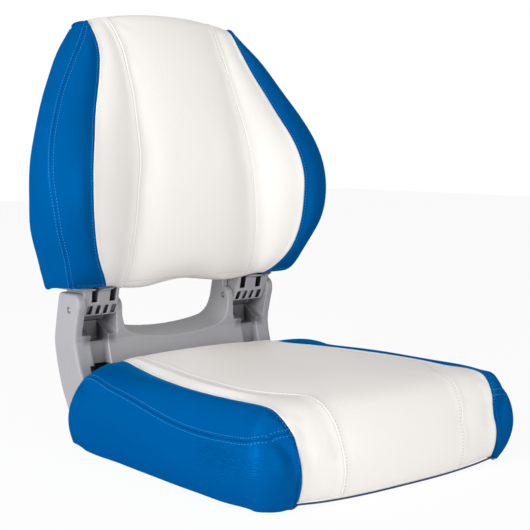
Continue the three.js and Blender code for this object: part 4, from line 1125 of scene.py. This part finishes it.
# Hinge pins: turned steel with a low domed head, passivated to a dull grey, pressed through both
# cheeks and the arm.
pin_axis = (0.232, 0.1805)
pin_profile = ((0.0, 0.1742), (0.0012, 0.1741), (0.0024, 0.1737), (0.0033, 0.173), (0.0038, 0.172),
               (0.0038, 0.0958), (0.0032, 0.0950), (0.0, 0.0949))
pin_sides = 40
backwards, upwards = Vector((0, 1, 0)), Vector((0, 0, 1))
turning_depth = 0.00003


def metal(name, colour, roughness):
    """Bare metal with fine turning marks and a little tarnish."""
    material, tree, bsdf = new_material(name)
    place = object_place(tree)
    tarnish = shader(tree, "TexNoise", {"Vector": place, "Scale": 260.0, "Detail": 4.0}).outputs[0]
    marks = shader(tree, "TexWave", {"Vector": place, "Scale": 500.0}, wave_type="RINGS",
                   rings_direction="X").outputs["Fac"]
    feed(tree, bsdf, {"Base Color": mixed(tree, colour, shade_of(colour, 0.7), tarnish),
                      "Metallic": 1.0, "Normal": bumped(tree, marks, turning_depth, 0.3),
                      "Roughness": ranged(tree, tarnish, {"To Min": roughness - 0.08,
                                                          "To Max": roughness + 0.1})})
    return material


def turned_outwards(mesh):
    """The mesh with its coinciding points merged, its faces outwards and its shading smooth."""
    work = bmesh.new()
    work.from_mesh(mesh)
    bmesh.ops.remove_doubles(work, verts=work.verts, dist=merge_reach)
    bmesh.ops.recalc_face_normals(work, faces=work.faces)
    work.to_mesh(mesh)
    work.free()
    mesh.shade_smooth()


steel = metal("steel", (0.30, 0.30, 0.31, 1.0), 0.45)
brass = metal("brass", (0.62, 0.44, 0.18, 1.0), 0.35)

for side, node in ((-1, "hinge_pin_left"), (1, "hinge_pin_right")):
    points = []
    for radius, along in pin_profile:
        middle = Vector((side * along, *pin_axis))
        points += ring_points(middle, backwards, upwards, radius, pin_sides)
    mesh = new_mesh(node.replace("hinge_", ""), points,
                    ring_faces(0, len(pin_profile), pin_sides)[:-2])
    turned_outwards(mesh)
    mesh.materials.append(steel)
    pin = new_thing(mesh.name, mesh)
    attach(pin, "seat")
    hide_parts(node)

# Binding: a dark blue vinyl piping stapled round the seat cover's lower edge, open at the neck.
piping_blue = vinyl("piping_blue", (0.012, 0.03, 0.09, 1.0), (0.01, 0.022, 0.07, 1.0), 0.4,
                    (1.0, 1.0, 1.0, 1.0), 0.35, 0.0, 0.0)
piping_radius, piping_sides, piping_step = 0.0012, 10, 0.003
neck_y, neck_half = 0.17, 0.178
piping_gap, piping_hidden_x, piping_tuck, piping_lift = 0.0004, (0.172, 0.182), 0.006, 0.002
piping_floor_gap = 0.0003
hem = [Vector(seat_net["points"][n]) for n in seat_net["hem"]]
first = next(n for n, at in enumerate(hem) if at.y > neck_y and at.x > neck_half)
hem = [at for at in hem[first:] + hem[:first] if not (at.y > neck_y and abs(at.x) < neck_half)]
route = []
for n in range(len(hem) - 1):
    steps = max(1, round((hem[n + 1] - hem[n]).length / piping_step))
    route += [through(hem, n, k / steps) for k in range(steps)]
route.append(hem[-1])
points = []
piping_side = 1 if (route[1] - route[0]).cross(upwards).dot(-route[0]) > 0 else -1
for n, at in enumerate(route):
    way = (route[min(len(route) - 1, n + 1)] - route[max(0, n - 1)]).normalized()
    across = way.cross(upwards).normalized()
    hidden = ease(abs(at.x), *piping_hidden_x)
    middle = at - upwards * (piping_radius + piping_gap) + across * piping_side * hidden * piping_tuck
    middle.z = max(piping_radius + piping_floor_gap, middle.z + piping_lift * hidden)
    points += ring_points(middle, across, upwards, piping_radius, piping_sides)
mesh = new_mesh("piping", points, ring_faces(0, len(route), piping_sides))
turned_outwards(mesh)
mesh.materials.append(piping_blue)
piping = new_thing("piping", mesh)
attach(piping, "seat")
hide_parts("seat_binding")

# Boards and fixings that came from the CAD: birch ply with its grain along the width, zinc-plated
# steel screws and knurled brass inserts.
ply_dark, ply_pale = (0.42, 0.28, 0.15, 1.0), (0.66, 0.50, 0.31, 1.0)
grain_stretch, grain_scale, grain_relief = (4.0, 60.0, 60.0), 6.0, 0.0003
ply, tree, bsdf = new_material("ply")
stretched = shader(tree, "Mapping", {"Vector": object_place(tree), "Scale": grain_stretch})
grain = shader(tree, "TexNoise", {"Vector": stretched.outputs["Vector"], "Scale": grain_scale,
                                  "Detail": 6.0}).outputs[0]
feed(tree, bsdf, {"Base Color": mixed(tree, ply_dark, ply_pale, grain), "Roughness": 0.65,
                  "Normal": bumped(tree, grain, grain_relief, 0.4)})
for node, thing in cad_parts.items():
    for kind, material in (("board", ply), ("screw", steel), ("insert", brass)):
        if kind in node:
            thing.data.materials.clear()
            thing.data.materials.append(material)
